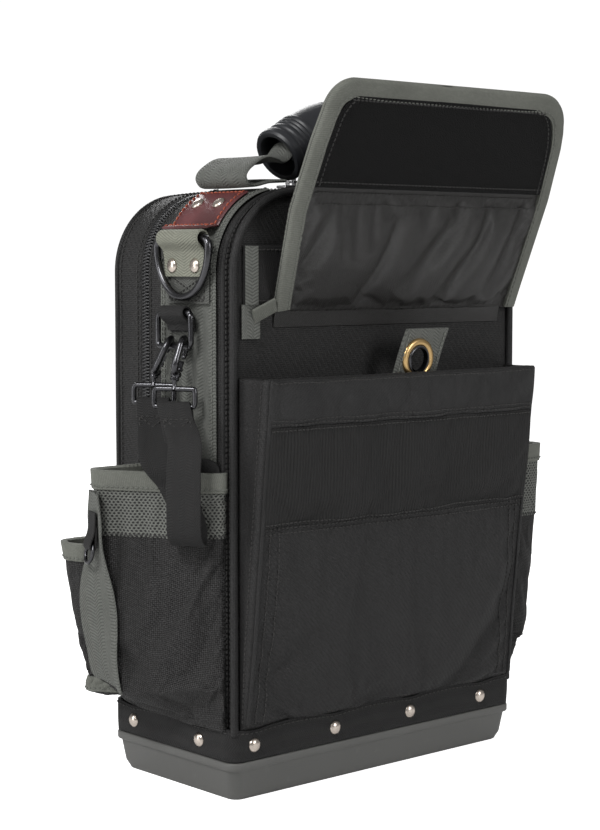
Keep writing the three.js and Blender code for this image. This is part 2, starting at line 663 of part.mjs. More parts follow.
function buildTapeLoop() {
  const tab = ringTab(-1, SMALL_TAB, tabInner, smallRingX, SMALL_RING.wire + GAP);
  add("small_ring_tab", tab, "black_webbing");
  const smallRing = squareRing(-smallRingX, SMALL_TAB.centre, SMALL_TAB.bar, SMALL_RING);
  add("small_d_ring", smallRing, "dark_metal");

  const across = STRAP_ACROSS;
  const out = new THREE.Vector3(-across.y, across.x, 0);
  const frontBar = buildEye("front", buildHook("front", FRONT_HOOK), across);
  const rearBar = buildEye("rear", buildHook("rear", REAR_HOOK), across);

  const rest = new THREE.Vector3(-bodyX - LOOP_STRAP.rest, LOOP_STRAP.restY, 0);
  const route = new THREE.CatmullRomCurve3([
    frontBar.clone().setZ(frontBar.z - LOOP_STRAP.roll + 0.5),
    ...STRAP_ROUTE.map(([outward, along, drop]) =>
      rest.clone().addScaledVector(out, outward).addScaledVector(across, along).setZ(smallBottom - drop),
    ),
    rearBar.clone().setZ(rearBar.z - LOOP_STRAP.roll + 0.5),
  ]);
  const ribbon = sweep(route.getPoints(30), flatSection(LOOP_STRAP.thickness, LOOP_STRAP.width), across);
  const turn = Math.atan2(across.y, across.x) - Math.PI / 2;
  const round = (bar, radius, length) =>
    new THREE.CylinderGeometry(radius, radius, length, 10).rotateZ(turn).translate(bar.x, bar.y, bar.z);
  const rolls = [frontBar, rearBar].map((bar) => round(bar, LOOP_STRAP.roll, LOOP_STRAP.width));
  const bores = [frontBar, rearBar].map((bar) => round(bar, EYE.wire + GAP, EYE.width + 4));
  add("tape_strap", cut(join(ribbon, ...rolls), ...bores), "black_webbing");
}

// ---- handle -------------------------------------------------------------------------------------------
function gripHeight(x) {
  return GRIP.end + GRIP.crown * Math.cos((x / GRIP.half) * (Math.PI / 2));
}

function buildHandle() {
  const axis = Array.from({ length: 11 }, (_, i) => {
    const x = -GRIP.half + (2 * GRIP.half * i) / 10;
    return new THREE.Vector3(x, STRAP.centre, gripHeight(x));
  });
  const across = new THREE.Vector3(0, 1, 0);
  const ends = [axis[0].clone(), axis[axis.length - 1].clone()];
  const slope = (GRIP.crown * Math.PI) / (2 * GRIP.half);
  ends[0].add(new THREE.Vector3(-1, 0, -slope));
  ends[1].add(new THREE.Vector3(1, 0, -slope));
  const longAxis = [ends[0], ...axis, ends[1]];
  const grip = cut(
    sweep(axis, circle(GRIP.radius, 12), across),
    sweep(longAxis, circle(GRIP.bore, 8), across),
  );
  add("handle_grip", grip, "grip_rubber");

  const coreTop = HANDLE_WEB.thickness / 2;
  for (const [side, word] of [[-1, "left"], [1, "right"]]) {
    const lift = strapFace - bodyX + coreTop + GAP + 0.4;
    const [footX, footZ] = archHalf(lift, 0, 8, 4).filter(([x]) => x >= STRAP.endX).pop();
    const route = new THREE.CatmullRomCurve3([
      new THREE.Vector3(footX - 12, 0, footZ + 2.6),
      new THREE.Vector3(footX - 2, 0, footZ + 0.4 + LEATHER.thickness),
      new THREE.Vector3(footX + 7, 0, footZ + 2.5 + LEATHER.thickness),
      new THREE.Vector3(footX + 5, 0, footZ + 9 + LEATHER.thickness),
      new THREE.Vector3(footX - 9, 0, footZ + 15 + LEATHER.thickness),
      new THREE.Vector3(GRIP.half + 4.5, 0, GRIP.end - 5),
    ]);
    const points = route.getPoints(16).map((p) => new THREE.Vector3(side * p.x, STRAP.centre, p.z));
    const web = sweep(points, flatSection(HANDLE_WEB.thickness, HANDLE_WEB.width), across);
    add(`handle_webbing_${word}`, web, "grey_webbing");
  }
}

// ---- zipped cover -------------------------------------------------------------------------------------
function buildCover() {
  const { bottom } = COVER;
  const shell = cut(
    alongY(arch(0, bottom), coverFront, bodyY),
    alongY(arch(-FABRIC, bottom - 5), 0, bodyY - FABRIC),
  );
  add("back_cover", shell, "black_fabric");

  const bagZip = alongY(archRing(0.4, -ZIP.height, ZIP.start), GUSSET_BACK + GAP, GUSSET_BACK + GAP + ZIP.half);
  add("zipper_chain_bag", bagZip, "zipper_coil");
  const coverZipStart = GUSSET_BACK + 2 * GAP + ZIP.half;
  const coverZip = alongY(archRing(0.4, -ZIP.height, ZIP.start), coverZipStart, coverZipStart + ZIP.half);
  add("zipper_chain_cover", coverZip, "zipper_coil");

  const seam = coverZipStart - GAP / 2;
  const plateZ = BODY_TOP + 0.4 + 2 * GAP;
  const slideHalf = ZIP.sliderLength / 2;
  const plate = block([-slideHalf, slideHalf], [seam - ZIP.sliderWidth / 2, seam + ZIP.sliderWidth / 2], [plateZ, plateZ + 1.8]);
  const bailZ = plateZ + 1.8;
  const { half, span, post, rise } = BAIL;
  const across = [seam - half, seam + half];
  const posts = [-span, span - post].map((x) => block([x, x + post], across, [bailZ - 0.5, bailZ + rise]));
  const bridge = block([-span, span], across, [bailZ + rise - post, bailZ + rise]);
  add("zipper_slider", join(plate, posts[0], posts[1], bridge), "slider_metal");

  const pullZ = bailZ + 2.2;
  const { arm, width, thickness, paddle } = PULL;
  const inner = half + 2 * GAP;
  const height = [pullZ - thickness / 2, pullZ + thickness / 2];
  const bar = block([-arm / 2, arm / 2], [seam - inner - arm, seam + inner + arm], height);
  const arms = [-inner - arm, inner].map((y) => block([-arm / 2, paddle + 1], [seam + y, seam + y + arm], height));
  const blade = block([paddle, ZIP.pullLength + 4], [seam - width / 2, seam + width / 2], height);
  add("zipper_pull", join(bar, arms[0], arms[1], blade), "slider_metal");

  const back = bodyY + GAP;
  const { halfWidth, reach, foot, top } = REAR_POCKET;
  const low = REAR_POCKET.bottom;
  const outline = [[back, low], [back + foot, low], [back + reach, top], [back, top]];
  const slope = (reach - foot) / (top - low);
  const hollow = [
    [back - 5, low + WALL],
    [back + foot - WALL + slope * WALL, low + WALL],
    [back + reach - WALL + slope * 5, top + 5],
    [back - 5, top + 5],
  ];
  const rear = cut(alongX(outline, -halfWidth, halfWidth), alongX(hollow, -halfWidth + WALL, halfWidth - WALL));
  add("rear_pocket", rear, "black_fabric");
}

// ---- outside pockets ----------------------------------------------------------------------------------
// A sewn-on pouch from stacked outlines, hollowed by the wall and trimmed clear of the bag.
function pouchShell(outlineAt, bottom, top, levels) {
  const ringAt = (z, inset) => outlineAt(z, inset).map(([x, y]) => new THREE.Vector3(x, y, z));
  const outer = skin(levels.map((z) => ringAt(z, 0)));
  const inside = [bottom + WALL, ...levels.slice(1, -1), top + 5];
  const inner = skin(inside.map((z) => ringAt(z, WALL)));
  return cut(outer, inner, bodyEnvelope);
}

// Height at which a side pocket's slanted floor turns into its nearly upright face.
function kneeHeight(bottom, top) {
  return bottom + (top - bottom) * 0.16;
}

// Share of full reach at height z: a slanted floor, then a nearly upright face.
function fullness(z, bottom, top, low) {
  const knee = kneeHeight(bottom, top);
  if (z <= knee) {
    return low * ((z - bottom) / (knee - bottom));
  }
  return low + (1 - low) * ((z - knee) / (top - knee));
}

function sidePocket(side, bulge) {
  const { top, bottom, front, rear } = SIDE_POCKET;
  const knee = kneeHeight(bottom, top);
  const wallX = bodyX - 6;
  const floorReach = 5;
  const outlineAt = (z, inset) => {
    const fill = fullness(Math.min(z, top), bottom, top, bulge.low);
    const far = bodyX + floorReach + (bulge.reach - floorReach) * fill - inset;
    const near = bodyX + Math.min(floorReach, bulge.frontReach) + (bulge.frontReach - 3) * fill - inset * 0.8;
    const skew = front + inset;
    const tail = rear - inset;
    const points = [
      [wallX, skew],
      [near, skew + (bulge.frontReach > 10 ? 2 : 0)],
      [near + (far - near) * 0.5, skew + (tail - skew) * 0.42],
      [far, tail - 12],
      [far - 0.5, tail - 4],
      [far - 5, tail],
      [wallX, tail],
    ];
    return points.map(([x, y]) => [side * x, y]);
  };
  return pouchShell(outlineAt, bottom, top, [bottom, knee, (knee + top) / 2, top]);
}

function cornerPocket(side) {
  const { top, bottom, side: start, out, back, low } = CORNER_POCKET;
  const middle = (top + bottom) / 2;
  const outlineAt = (z, inset) => {
    const fill = low + (1 - low) * ((Math.min(z, top) - bottom) / (top - bottom));
    const reachX = bodyX + out * fill - inset;
    const reachY = bodyY + back * fill - inset;
    const points = [
      [bodyX - 8, start + inset],
      [bodyX + 8 * fill, start + inset],
      [reachX - 3, bodyY - 12],
      [reachX, bodyY + 2],
      [reachX - 8, reachY],
      [bodyX - 10 + inset, reachY],
      [bodyX - 10 + inset, bodyY - 8],
    ];
    return points.map(([x, y]) => [side * x, y]);
  };
  return pouchShell(outlineAt, bottom, top, [bottom, middle, top]);
}

function buildPockets() {
  add("side_pocket_left", sidePocket(-1, LEFT_BULGE), "black_fabric");
  add("side_pocket_right", sidePocket(1, RIGHT_BULGE), "black_fabric");
  add("corner_pocket_left", cornerPocket(-1), "black_fabric");
  add("corner_pocket_right", cornerPocket(1), "black_fabric");
}

buildBase();
buildRivets();
buildBody();
buildTabletPocket();
buildGrommetTab();
buildFlap();
buildSides();
buildTapeLoop();
buildHandle();
buildCover();
buildPockets();

export default pouch;
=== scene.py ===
"""Looks for the electrician tool pouch: fabric, webbing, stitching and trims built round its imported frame.
Lengths in this script are millimetres until a mesh is made; +Z up, -Y towards the tablet pocket."""

import math

import bpy
import bmesh
import numpy as np
from mathutils import Matrix, Vector, noise


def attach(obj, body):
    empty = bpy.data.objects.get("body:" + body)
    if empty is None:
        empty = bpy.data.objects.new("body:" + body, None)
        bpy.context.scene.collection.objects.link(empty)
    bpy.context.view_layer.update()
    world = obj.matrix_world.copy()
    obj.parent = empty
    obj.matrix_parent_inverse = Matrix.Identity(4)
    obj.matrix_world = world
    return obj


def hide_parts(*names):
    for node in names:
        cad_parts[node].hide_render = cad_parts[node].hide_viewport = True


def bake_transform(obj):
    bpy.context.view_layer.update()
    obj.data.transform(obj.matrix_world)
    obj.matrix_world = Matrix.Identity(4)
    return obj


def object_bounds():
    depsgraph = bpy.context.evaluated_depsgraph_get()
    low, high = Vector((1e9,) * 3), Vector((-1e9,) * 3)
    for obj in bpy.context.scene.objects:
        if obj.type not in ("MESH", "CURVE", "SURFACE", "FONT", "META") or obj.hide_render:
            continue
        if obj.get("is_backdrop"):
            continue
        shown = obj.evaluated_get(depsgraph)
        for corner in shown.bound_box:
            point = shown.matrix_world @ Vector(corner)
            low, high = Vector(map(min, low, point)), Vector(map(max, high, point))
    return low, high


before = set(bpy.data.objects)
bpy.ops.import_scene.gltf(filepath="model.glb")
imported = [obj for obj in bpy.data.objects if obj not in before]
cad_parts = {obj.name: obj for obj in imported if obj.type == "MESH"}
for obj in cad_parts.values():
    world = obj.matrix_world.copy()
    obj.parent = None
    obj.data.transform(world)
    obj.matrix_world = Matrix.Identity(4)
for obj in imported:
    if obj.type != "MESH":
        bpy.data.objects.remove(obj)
CAD_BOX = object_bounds()
RNG = np.random.default_rng(11)

# ---- sizes shared with the CAD -------------------------------------------------------------------------
BX, BY, TOP = 113.6, 54.8, 349.0
SHOULDER, SWEEP = 46.0, math.radians(83)
BAND_LOW, BAND_TOP = 23.3, 40.3
PANEL_FACE = -55.1
GUSSET_BACK, COVER_FRONT = 22.7, 28.7
STRAP_Y = -17.0
RING_X, SMALL_X, RING_BAR = 121.3, 123.3, 318.0
FLAP_O = np.array([6.0, -57.8, 277.0])
LEAN = math.radians(22)
BASE_HALF = (116.0, 57.2)
COVER_LOW = 46.2
LOOP_SEAM, HEM_SEAM = 157, 213.5
SIDE_WEB, LEATHER_WEB, RING_WEB = 50, 42, 38
SMALL_WEB, TAPE_WEB, GRIP_WEB = 22.6, 19.8, 46
EDGE_SEAM = 2.4


# ---- numbers -------------------------------------------------------------------------------------------
def unit(v):
    """Vectors at length 1."""
    return v / np.maximum(np.linalg.norm(v, axis=-1, keepdims=True), 1e-9)


def ease(t):
    """A soft step from 0 to 1."""
    t = np.clip(t, 0, 1)
    return t * t * (3 - 2 * t)


def vec(*v):
    """Numbers as an array."""
    return np.array(v, float)


def resample(path, count):
    """The path again, with that many points at even steps."""
    path = np.asarray(path, float)
    run = np.concatenate([[0], np.cumsum(np.linalg.norm(np.diff(path, axis=0), axis=1))])
    at = np.linspace(0, run[-1], count)
    return np.stack([np.interp(at, run, path[:, k]) for k in range(path.shape[1])], 1)


def spline(points, count, closed=False):
    """A smooth curve through the points, at even steps."""
    p = np.asarray(points, float)
    if closed:
        p = np.concatenate([p[-1:], p, p[:2]])
    else:
        p = np.concatenate([2 * p[:1] - p[1:2], p, 2 * p[-1:] - p[-2:-1]])
    out = []
    for i in range(1, len(p) - 2):
        for t in np.linspace(0, 1, 12, endpoint=False):
            a, b, c, d = p[i - 1 : i + 3]
            out.append(
                0.5
                * (
                    2 * b + (c - a) * t + (2 * a - 5 * b + 4 * c - d) * t**2 + (3 * b - a - 3 * c + d)
                    * t**3
                )
            )
    out.append(p[-2])
    return resample(out, count)


def arch(offset=0.0, bottom=BAND_LOW, count=200, end_x=None):
    """Points and outward normals (x, z) along the bag's arched outline, from the +X foot over the top.
    With end_x, only the +X side, up to that distance from the middle."""
    centre, corner = BX - SHOULDER, SHOULDER + offset
    crown = centre / math.cos(SWEEP) + corner
    crown_z = TOP + offset - crown
    corner_z = crown_z + (crown - corner) * math.sin(SWEEP)
    a = np.linspace(0, SWEEP, 40)
    b = np.linspace(SWEEP, math.pi / 2, 20)[1:]
    x = np.concatenate([[BX + offset], centre + corner * np.cos(a), crown * np.cos(b)])
    z = np.concatenate([[bottom], corner_z + corner * np.sin(a), crown_z + crown * np.sin(b)])
    keep = z >= bottom
    x, z = x[keep], z[keep]
    path = np.stack([x, z], 1)
    if end_x is None:
        path = np.concatenate([path, path[-2::-1] * [-1, 1]])
    else:
        path = path[path[:, 0] >= end_x]
    path = resample(path, count)
    along = unit(np.gradient(path, axis=0))
    return path, np.stack([along[:, 1], -along[:, 0]], 1)


def arch_height(x, offset=0.0):
    """The height of the arched outline at x."""
    path, _ = arch(offset, BAND_LOW, 900, 0.0)
    return np.interp(np.abs(x), path[::-1, 0], path[::-1, 1])


def ripple(P, size, seed=0, octaves=2):
    """Smooth noise from -1 to 1 at the points."""
    flat = P.reshape(-1, 3) / size + seed * 7.31
    total = np.zeros(len(flat))
    for o in range(octaves):
        total += np.array([noise.noise(Vector(p * 2**o)) for p in flat]) / 2**o
    return total.reshape(P.shape[:-1])


def face_normals(P):
    """Outward where rows go up and columns go from left to right, as seen from outside."""
    du, dv = np.gradient(P, axis=0), np.gradient(P, axis=1)
    return unit(np.cross(dv, du))


def crease(U, V, a, b, width, depth):
    """A valley of that depth along the line a-b, in the (U, V) plane, with soft banks."""
    a, b = vec(*a), vec(*b)
    d = b - a
    t = np.clip(((U - a[0]) * d[0] + (V - a[1]) * d[1]) / (d @ d), 0, 1)
    r = np.hypot(U - a[0] - t * d[0], V - a[1] - t * d[1]) / width
    fade = np.sin(np.pi * np.clip(t * 0.9 + 0.05, 0, 1)) ** 0.5
    return fade * depth * (1.5 * np.exp(-((r / 1.8) ** 2)) - 2.5 * np.exp(-(r**2))) / 1.5


def relax(P, pinned, grow=0.03, pressure=0.0, frames=18, cap=8.0, bending=0.4):
    """The grid of points as cloth that is a little larger than its seams: pinned is 0 to 1 at each point."""
    n, m = P.shape[:2]
    i = np.arange(n * m).reshape(n, m)
    quads = np.stack([i[:-1, :-1], i[1:, :-1], i[1:, 1:], i[:-1, 1:]], -1).reshape(-1, 4)
    mesh = bpy.data.meshes.new("cloth")
    mesh.from_pydata(P.reshape(-1, 3) / 1000, [], quads.tolist())
    cloth = bpy.data.objects.new("cloth", mesh)
    bpy.context.scene.collection.objects.link(cloth)
    group = cloth.vertex_groups.new(name="pin")
    for k, w in enumerate(np.clip(pinned, 0, 1).reshape(-1)):
        group.add([k], float(w), "REPLACE")
    settings = cloth.modifiers.new("cloth", "CLOTH").settings
    settings.vertex_group_mass = "pin"
    settings.quality = 6
    settings.mass = 0.05
    settings.tension_stiffness = settings.compression_stiffness = 12
    settings.shear_stiffness = 4
    settings.bending_stiffness = bending
    settings.shrink_min = -grow
    settings.effector_weights.gravity = 0.15
    if pressure:
        settings.use_pressure = True
        settings.uniform_pressure_force = pressure
    scene = bpy.context.scene
    for f in range(1, frames + 1):
        scene.frame_set(f)
    ready = cloth.evaluated_get(bpy.context.evaluated_depsgraph_get())
    out = np.empty(n * m * 3)
    ready.data.vertices.foreach_get("co", out)
    out = out.reshape(n, m, 3) * 1000
    scene.frame_set(1)
    bpy.data.objects.remove(cloth, do_unlink=True)
    move = out - P
    far = np.linalg.norm(move, axis=-1, keepdims=True)
    return P + move * np.minimum(1, cap / np.maximum(far, 1e-6))


# ---- meshes --------------------------------------------------------------------------------------------
class Soup:
    """Grids gathered into one mesh, with map coordinates in metres along and across each grid."""

    def __init__(self):
        self.v, self.f, self.uv, self.count = [], [], [], 0

    def grid(self, P, wrap=False, ring=False, caps=False, uv=None):
        P = np.asarray(P, float)
        n, m = P.shape[:2]
        Q = np.concatenate([P, P[:1]]) if ring else P
        Q = np.concatenate([Q, Q[:, :1]], 1) if wrap else Q
        if uv is None:
            U = np.concatenate(
                [np.zeros((1, Q.shape[1])), np.cumsum(np.linalg.norm(np.diff(Q, axis=0), axis=-1), 0)]
            )
            V = np.concatenate(
                [np.zeros((Q.shape[0], 1)), np.cumsum(np.linalg.norm(np.diff(Q, axis=1), axis=-1), 1)], 1
            )
            V = V - V[:, -1:] / 2
            uv = np.stack([U, V], -1)
        i = np.arange(n * m).reshape(n, m) + self.count
        i = np.concatenate([i, i[:1]]) if ring else i
        i = np.concatenate([i, i[:, :1]], 1) if wrap else i
        self.f += np.stack([i[:-1, :-1], i[1:, :-1], i[1:, 1:], i[:-1, 1:]], -1).reshape(-1, 4).tolist()
        q = np.stack([uv[:-1, :-1], uv[1:, :-1], uv[1:, 1:], uv[:-1, 1:]], 2).reshape(-1, 2)
        self.uv.append(q / 1000)
        if caps:
            for row, flip in ((0, 1), (n - 1, -1)):
                self.f.append((np.arange(m)[::flip] + row * m + self.count).tolist())
                self.uv.append(uv[row, :m][::flip] / 1000)
        self.v.append(P.reshape(-1, 3))
        self.count += n * m
        return self

    def sheet(self, P, thickness):
        """A sheet with P as its face and rounded edges; its thickness goes against the face's normals."""
        back = P - face_normals(P) * thickness
        mid = (P + back) / 2
        side = lambda j, k: (mid[:, j] + unit(mid[:, j] - mid[:, k]) * thickness * 0.45)[:, None]
        Q = np.concatenate([P, side(-1, -2), back[:, ::-1], side(0, 1)], 1)
        end = lambda i, k: mid[i] + unit(mid[i] - mid[k]) * thickness * 0.45
        fold = lambda row: np.concatenate([row, row[-1:], row[::-1], row[:1]])[None]
        Q = np.concatenate([fold(end(0, 1)), Q, fold(end(-1, -2))])
        return self.grid(Q, wrap=True)

    def turned(self, centre, axis, profile, sides=32):
        """A lathe: profile is (radius, along axis)."""
        axis = unit(vec(*axis))
        side = unit(np.cross(axis, vec(0, 0, 1) if abs(axis[2]) < 0.9 else vec(1, 0, 0)))
        other = np.cross(axis, side)
        a = np.linspace(0, 2 * np.pi, sides, endpoint=False)
        wheel = np.cos(a)[:, None] * side + np.sin(a)[:, None] * other
        rows = [vec(*centre) + axis * h + wheel * max(r, 1e-4) for r, h in profile]
        return self.grid(rows, wrap=True)

    def build(self, name, material, body="root", nodes=(), slot=None, sharp=38, blend=None):
        """The piece of that name on its body, or, given a blend, on no body with its placing baked in, in
        place of the CAD nodes.
        """
        mesh = bpy.data.meshes.new(name)
        mesh.from_pydata(np.concatenate(self.v) / 1000, [], self.f)
        mesh.uv_layers.new(name="weave").data.foreach_set("uv", np.concatenate(self.uv).reshape(-1))
        work = bmesh.new()
        work.from_mesh(mesh)
        bmesh.ops.remove_doubles(work, verts=work.verts, dist=2e-6)
        bmesh.ops.recalc_face_normals(work, faces=work.faces)
        work.to_mesh(mesh)
        work.free()
        mesh.polygons.foreach_set("use_smooth", [True] * len(mesh.polygons))
        mesh.set_sharp_from_angle(angle=math.radians(sharp))
        mesh.materials.append(material)
        piece = bpy.data.objects.new(name, mesh)
        bpy.context.scene.collection.objects.link(piece)
        if blend:
            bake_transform(piece)
        else:
            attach(piece, body)
        if nodes:
            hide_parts(*nodes)
        return piece


def rounded(half_a, half_b, corner, steps=4):
    """The outline of a rectangle with round corners."""
    out = []
    for quarter in range(4):
        ca = (half_a - corner) * (1 if quarter in (0, 3) else -1)
        cb = (half_b - corner) * (1 if quarter < 2 else -1)
        for i in range(steps + 1):
            angle = (quarter + i / steps) * math.pi / 2
            out.append((ca + corner * math.cos(angle), cb + corner * math.sin(angle)))
    return np.array(out)


def tube(path, radius, sides=14, closed=False, soup=None):
    """A round wire; radius may be one number or one at each point."""
    path = np.asarray(path, float)
    n = len(path)
    radius = np.broadcast_to(radius, n).astype(float)
    T = unit(np.roll(path, -1, 0) - np.roll(path, 1, 0)) if closed else unit(np.gradient(path, axis=0))
    side = np.cross(T[0], [0, 0, 1] if abs(T[0][2]) < 0.9 else [1, 0, 0])
    A = []
    for t in T:
        side = unit(side - t * (side @ t))
        A.append(side)
    A = np.array(A)
    B = np.cross(T, A)
    a = np.linspace(0, 2 * np.pi, sides, endpoint=False)
    rows = path[:, None] + radius[:, None, None] * (
        np.cos(a)[None, :, None] * A[:, None] + np.sin(a)[None, :, None] * B[:, None]
    )
    if not closed:
        caps = [(1e-3, -0.9), (0.55, -0.75), (0.85, -0.4)]
        first = [path[0] + T[0] * radius[0] * h * 0.6 + (rows[0] - path[0]) * k for k, h in caps]
        last = [path[-1] - T[-1] * radius[-1] * h * 0.6 + (rows[-1] - path[-1]) * k for k, h in caps[::-1]]
        rows = np.concatenate([first, rows, last])
    return (soup or Soup()).grid(rows, wrap=True, ring=closed)


def band(C, A, N, width, thickness, soup=None, cup=0.0):
    """Webbing: C its centreline, A across it and N out of its face; width and cup may change along it."""
    C, A, N = (np.asarray(v, float) for v in (C, A, N))
    A, N = np.broadcast_to(A, C.shape), np.broadcast_to(N, C.shape)
    half = np.broadcast_to(width, len(C)) / 2.0
    cup = np.broadcast_to(cup, len(C))
    a = np.array([-1, -0.97, -0.9, -0.72, -0.4, 0, 0.4, 0.72, 0.9, 0.97, 1])
    edge = np.array([0.0, 0.36, 0.5, 0.5, 0.5, 0.5, 0.5, 0.5, 0.5, 0.36, 0.0])
    sec_a = np.concatenate([a, a[-2:0:-1]])
    sec_b = np.concatenate([edge, -edge[-2:0:-1]])
    bow = 1 - sec_a**2
    P = (
        C[:, None]
        + A[:, None] * (half[:, None, None] * sec_a[None, :, None])
        + N[:, None] * (thickness * sec_b[None, :, None] + cup[:, None, None] * bow[None, :, None])
    )
    P = np.concatenate([C[:1, None] * 0.5 + P[:1] * 0.5, P, C[-1:, None] * 0.5 + P[-1:] * 0.5])
    return (soup or Soup()).grid(P, wrap=True, caps=True)


def at(P, u, v):
    """Point and normal of the grid P at index positions u (rows) and v (columns), between grid points."""
    P = np.asarray(P)
    N = face_normals(P)
    u = np.clip(np.asarray(u, float), 0, P.shape[0] - 1.001)
    v = np.clip(np.asarray(v, float), 0, P.shape[1] - 1.001)
    i, j = u.astype(int), v.astype(int)
    fu, fv = (u - i)[..., None], (v - j)[..., None]
    mix = lambda G: (G[i, j] * (1 - fu) + G[i + 1, j] * fu) * (1 - fv) + (
        G[i, j + 1] * (1 - fu) + G[i + 1, j + 1] * fu
    ) * fv
    return mix(P), unit(mix(N))


class Stitching:
    """Rows of thread gathered by body, so that each body carries one stitching piece."""

    def __init__(self):
        self.rows = {}

    def row(self, key, C, N, pitch=3.1, size=0.42, lift=0.12):
        C, N = np.asarray(C, float), np.broadcast_to(N, np.shape(C)).astype(float)
        run = np.concatenate([[0], np.cumsum(np.linalg.norm(np.diff(C, axis=0), axis=1))])
        count = int(run[-1] / pitch)
        if count < 1:
            return
        mid = (np.arange(count) + 0.5) * run[-1] / count
        look = lambda G, s: np.stack([np.interp(s, run, G[:, k]) for k in range(3)], -1)
        t = np.array([-0.5, -0.36, 0, 0.36, 0.5]) * pitch * 0.8
        sink = np.array([-1.3, 0.15, 0.45, 0.15, -1.3]) * size
        fat = np.array([0.35, 0.9, 1, 0.9, 0.35]) * size
        s = np.clip(mid[:, None] + t, 0, run[-1])
        P, M = look(C, s), unit(look(N, s))
        T = unit(P[:, -1:] - P[:, :1])
        wiggle = RNG.uniform(-0.12, 0.12, (count, 1, 1)) * t[None, :, None]
        A = unit(np.cross(M, T))
        P = P + M * (sink + lift)[None, :, None] + A * wiggle
        a = np.linspace(0, 2 * np.pi, 5, endpoint=False)
        ringed = P[:, :, None] + fat[None, :, None, None] * (
            np.cos(a)[None, None, :, None] * A[:, :, None] + np.sin(a)[None, None, :, None] * M[:, :, None]
        )
        soup = self.rows.setdefault(key, Soup())
        for one in ringed:
            soup.grid(one, wrap=True)

    def build(self, materials):
        for (body, colour), soup in self.rows.items():
            name = f"stitching_{colour}_{'_'.join(body) if isinstance(body, tuple) else body}"
            mat = materials[colour]
            if isinstance(body, tuple):
                soup.build(name, mat, slot="stitching", blend=BLENDS[body])
            else:
                soup.build(name, mat, body, slot="stitching")


THREAD = Stitching()


# ---- materials -----------------------------------------------------------------------------------------
class Shader:
    """A material's nodes, written as sums."""

    def __init__(self, name, rough=0.8, metal=0.0, sheen=0.0, coat=0.0, specular=0.5, sheen_tint=None):
        self.mat = bpy.data.materials.new(name)
        self.mat.use_nodes = True
        self.tree = self.mat.node_tree
        self.bsdf = self.tree.nodes["Principled BSDF"]
        put = self.bsdf.inputs
        put["Roughness"].default_value = rough
        put["Metallic"].default_value = metal
        put["Sheen Weight"].default_value = sheen
        put["Sheen Roughness"].default_value = 0.45
        if sheen_tint:
            put["Sheen Tint"].default_value = (*sheen_tint, 1)
        put["Coat Weight"].default_value = coat
        put["Coat Roughness"].default_value = 0.25
        put["Specular IOR Level"].default_value = specular
        where = self.node("ShaderNodeUVMap")
        where.uv_map = "weave"
        split = self.node("ShaderNodeSeparateXYZ")
        self.link(where.outputs[0], split.inputs[0])
        self.u, self.v = split.outputs[0], split.outputs[1]
        self.obj = self.node("ShaderNodeTexCoord").outputs["Object"]

    def node(self, kind):
        return self.tree.nodes.new(kind)

    def link(self, a, b):
        self.tree.links.new(a, b)

    def feed(self, value, socket):
        if isinstance(value, bpy.types.NodeSocket):
            self.link(value, socket)
        else:
            socket.default_value = value

    def m(self, op, a, b=0.0):
        n = self.node("ShaderNodeMath")
        n.operation = op
        for value, socket in zip((a, b), n.inputs):
            self.feed(value, socket)
        return n.outputs[0]

    def noise(self, scale, detail=3.0):
        n = self.node("ShaderNodeTexNoise")
        n.inputs["Scale"].default_value = scale
        n.inputs["Detail"].default_value = detail
        n.inputs["Roughness"].default_value = 0.55
        self.link(self.obj, n.inputs["Vector"])
        return n.outputs["Fac"]

    def cells(self, scale):
        n = self.node("ShaderNodeTexVoronoi")
        n.inputs["Scale"].default_value = scale
        self.link(self.obj, n.inputs["Vector"])
        return n.outputs["Distance"]

    def hash(self, a, b):
        both = self.node("ShaderNodeCombineXYZ")
        self.feed(a, both.inputs[0])
        self.feed(b, both.inputs[1])
        n = self.node("ShaderNodeTexWhiteNoise")
        n.noise_dimensions = "2D"
        self.link(both.outputs[0], n.inputs["Vector"])
        return n.outputs["Value"]

    def ramp(self, fac, stops):
        n = self.node("ShaderNodeValToRGB")
        ramp = n.color_ramp
        while len(ramp.elements) < len(stops):
            ramp.elements.new(0.5)
        for element, (place, colour) in zip(ramp.elements, stops):
            element.position = place
            element.color = (*colour, 1) if not isinstance(colour, float) else (colour, colour, colour, 1)
        self.link(fac, n.inputs[0])
        return n.outputs[0]

    def tint(self, colour, fac, how="MULTIPLY", amount=1.0):
        n = self.node("ShaderNodeMix")
        n.data_type = "RGBA"
        n.blend_type = how
        n.inputs[0].default_value = amount
        self.link(colour, n.inputs[6])
        self.link(fac, n.inputs[7])
        return n.outputs[2]

    def threads(self, pitch, kind):
        """Height of crossed threads, and one random value for each crossing."""
        x, y = self.m("DIVIDE", self.u, pitch), self.m("DIVIDE", self.v, pitch)
        i, j = self.m("FLOOR", x), self.m("FLOOR", y)
        over = self.m("ADD", i, j)
        count, limit = (2.0, 1.0) if kind == "plain" else (4.0, 2.0)
        over = self.m("LESS_THAN", self.m("FLOORED_MODULO", over, count), limit)
        hx = self.m("ABSOLUTE", self.m("SINE", self.m("MULTIPLY", x, math.pi)))
        hy = self.m("ABSOLUTE", self.m("SINE", self.m("MULTIPLY", y, math.pi)))
        mixed = self.m(
            "ADD", self.m("MULTIPLY", over, hx), self.m("MULTIPLY", self.m("SUBTRACT", 1.0, over), hy)
        )
        return mixed, self.hash(i, self.m("ADD", j, self.m("MULTIPLY", over, 57.0)))

    def done(self, colour, height=None, bump=0.5, depth=0.0002, rough=None):
        self.link(colour, self.bsdf.inputs["Base Color"])
        if height is not None:
            n = self.node("ShaderNodeBump")
            n.inputs["Strength"].default_value = bump
            n.inputs["Distance"].default_value = depth
            self.link(height, n.inputs["Height"])
            self.link(n.outputs[0], self.bsdf.inputs["Normal"])
        if rough is not None:
            self.link(rough, self.bsdf.inputs["Roughness"])
        return self.mat


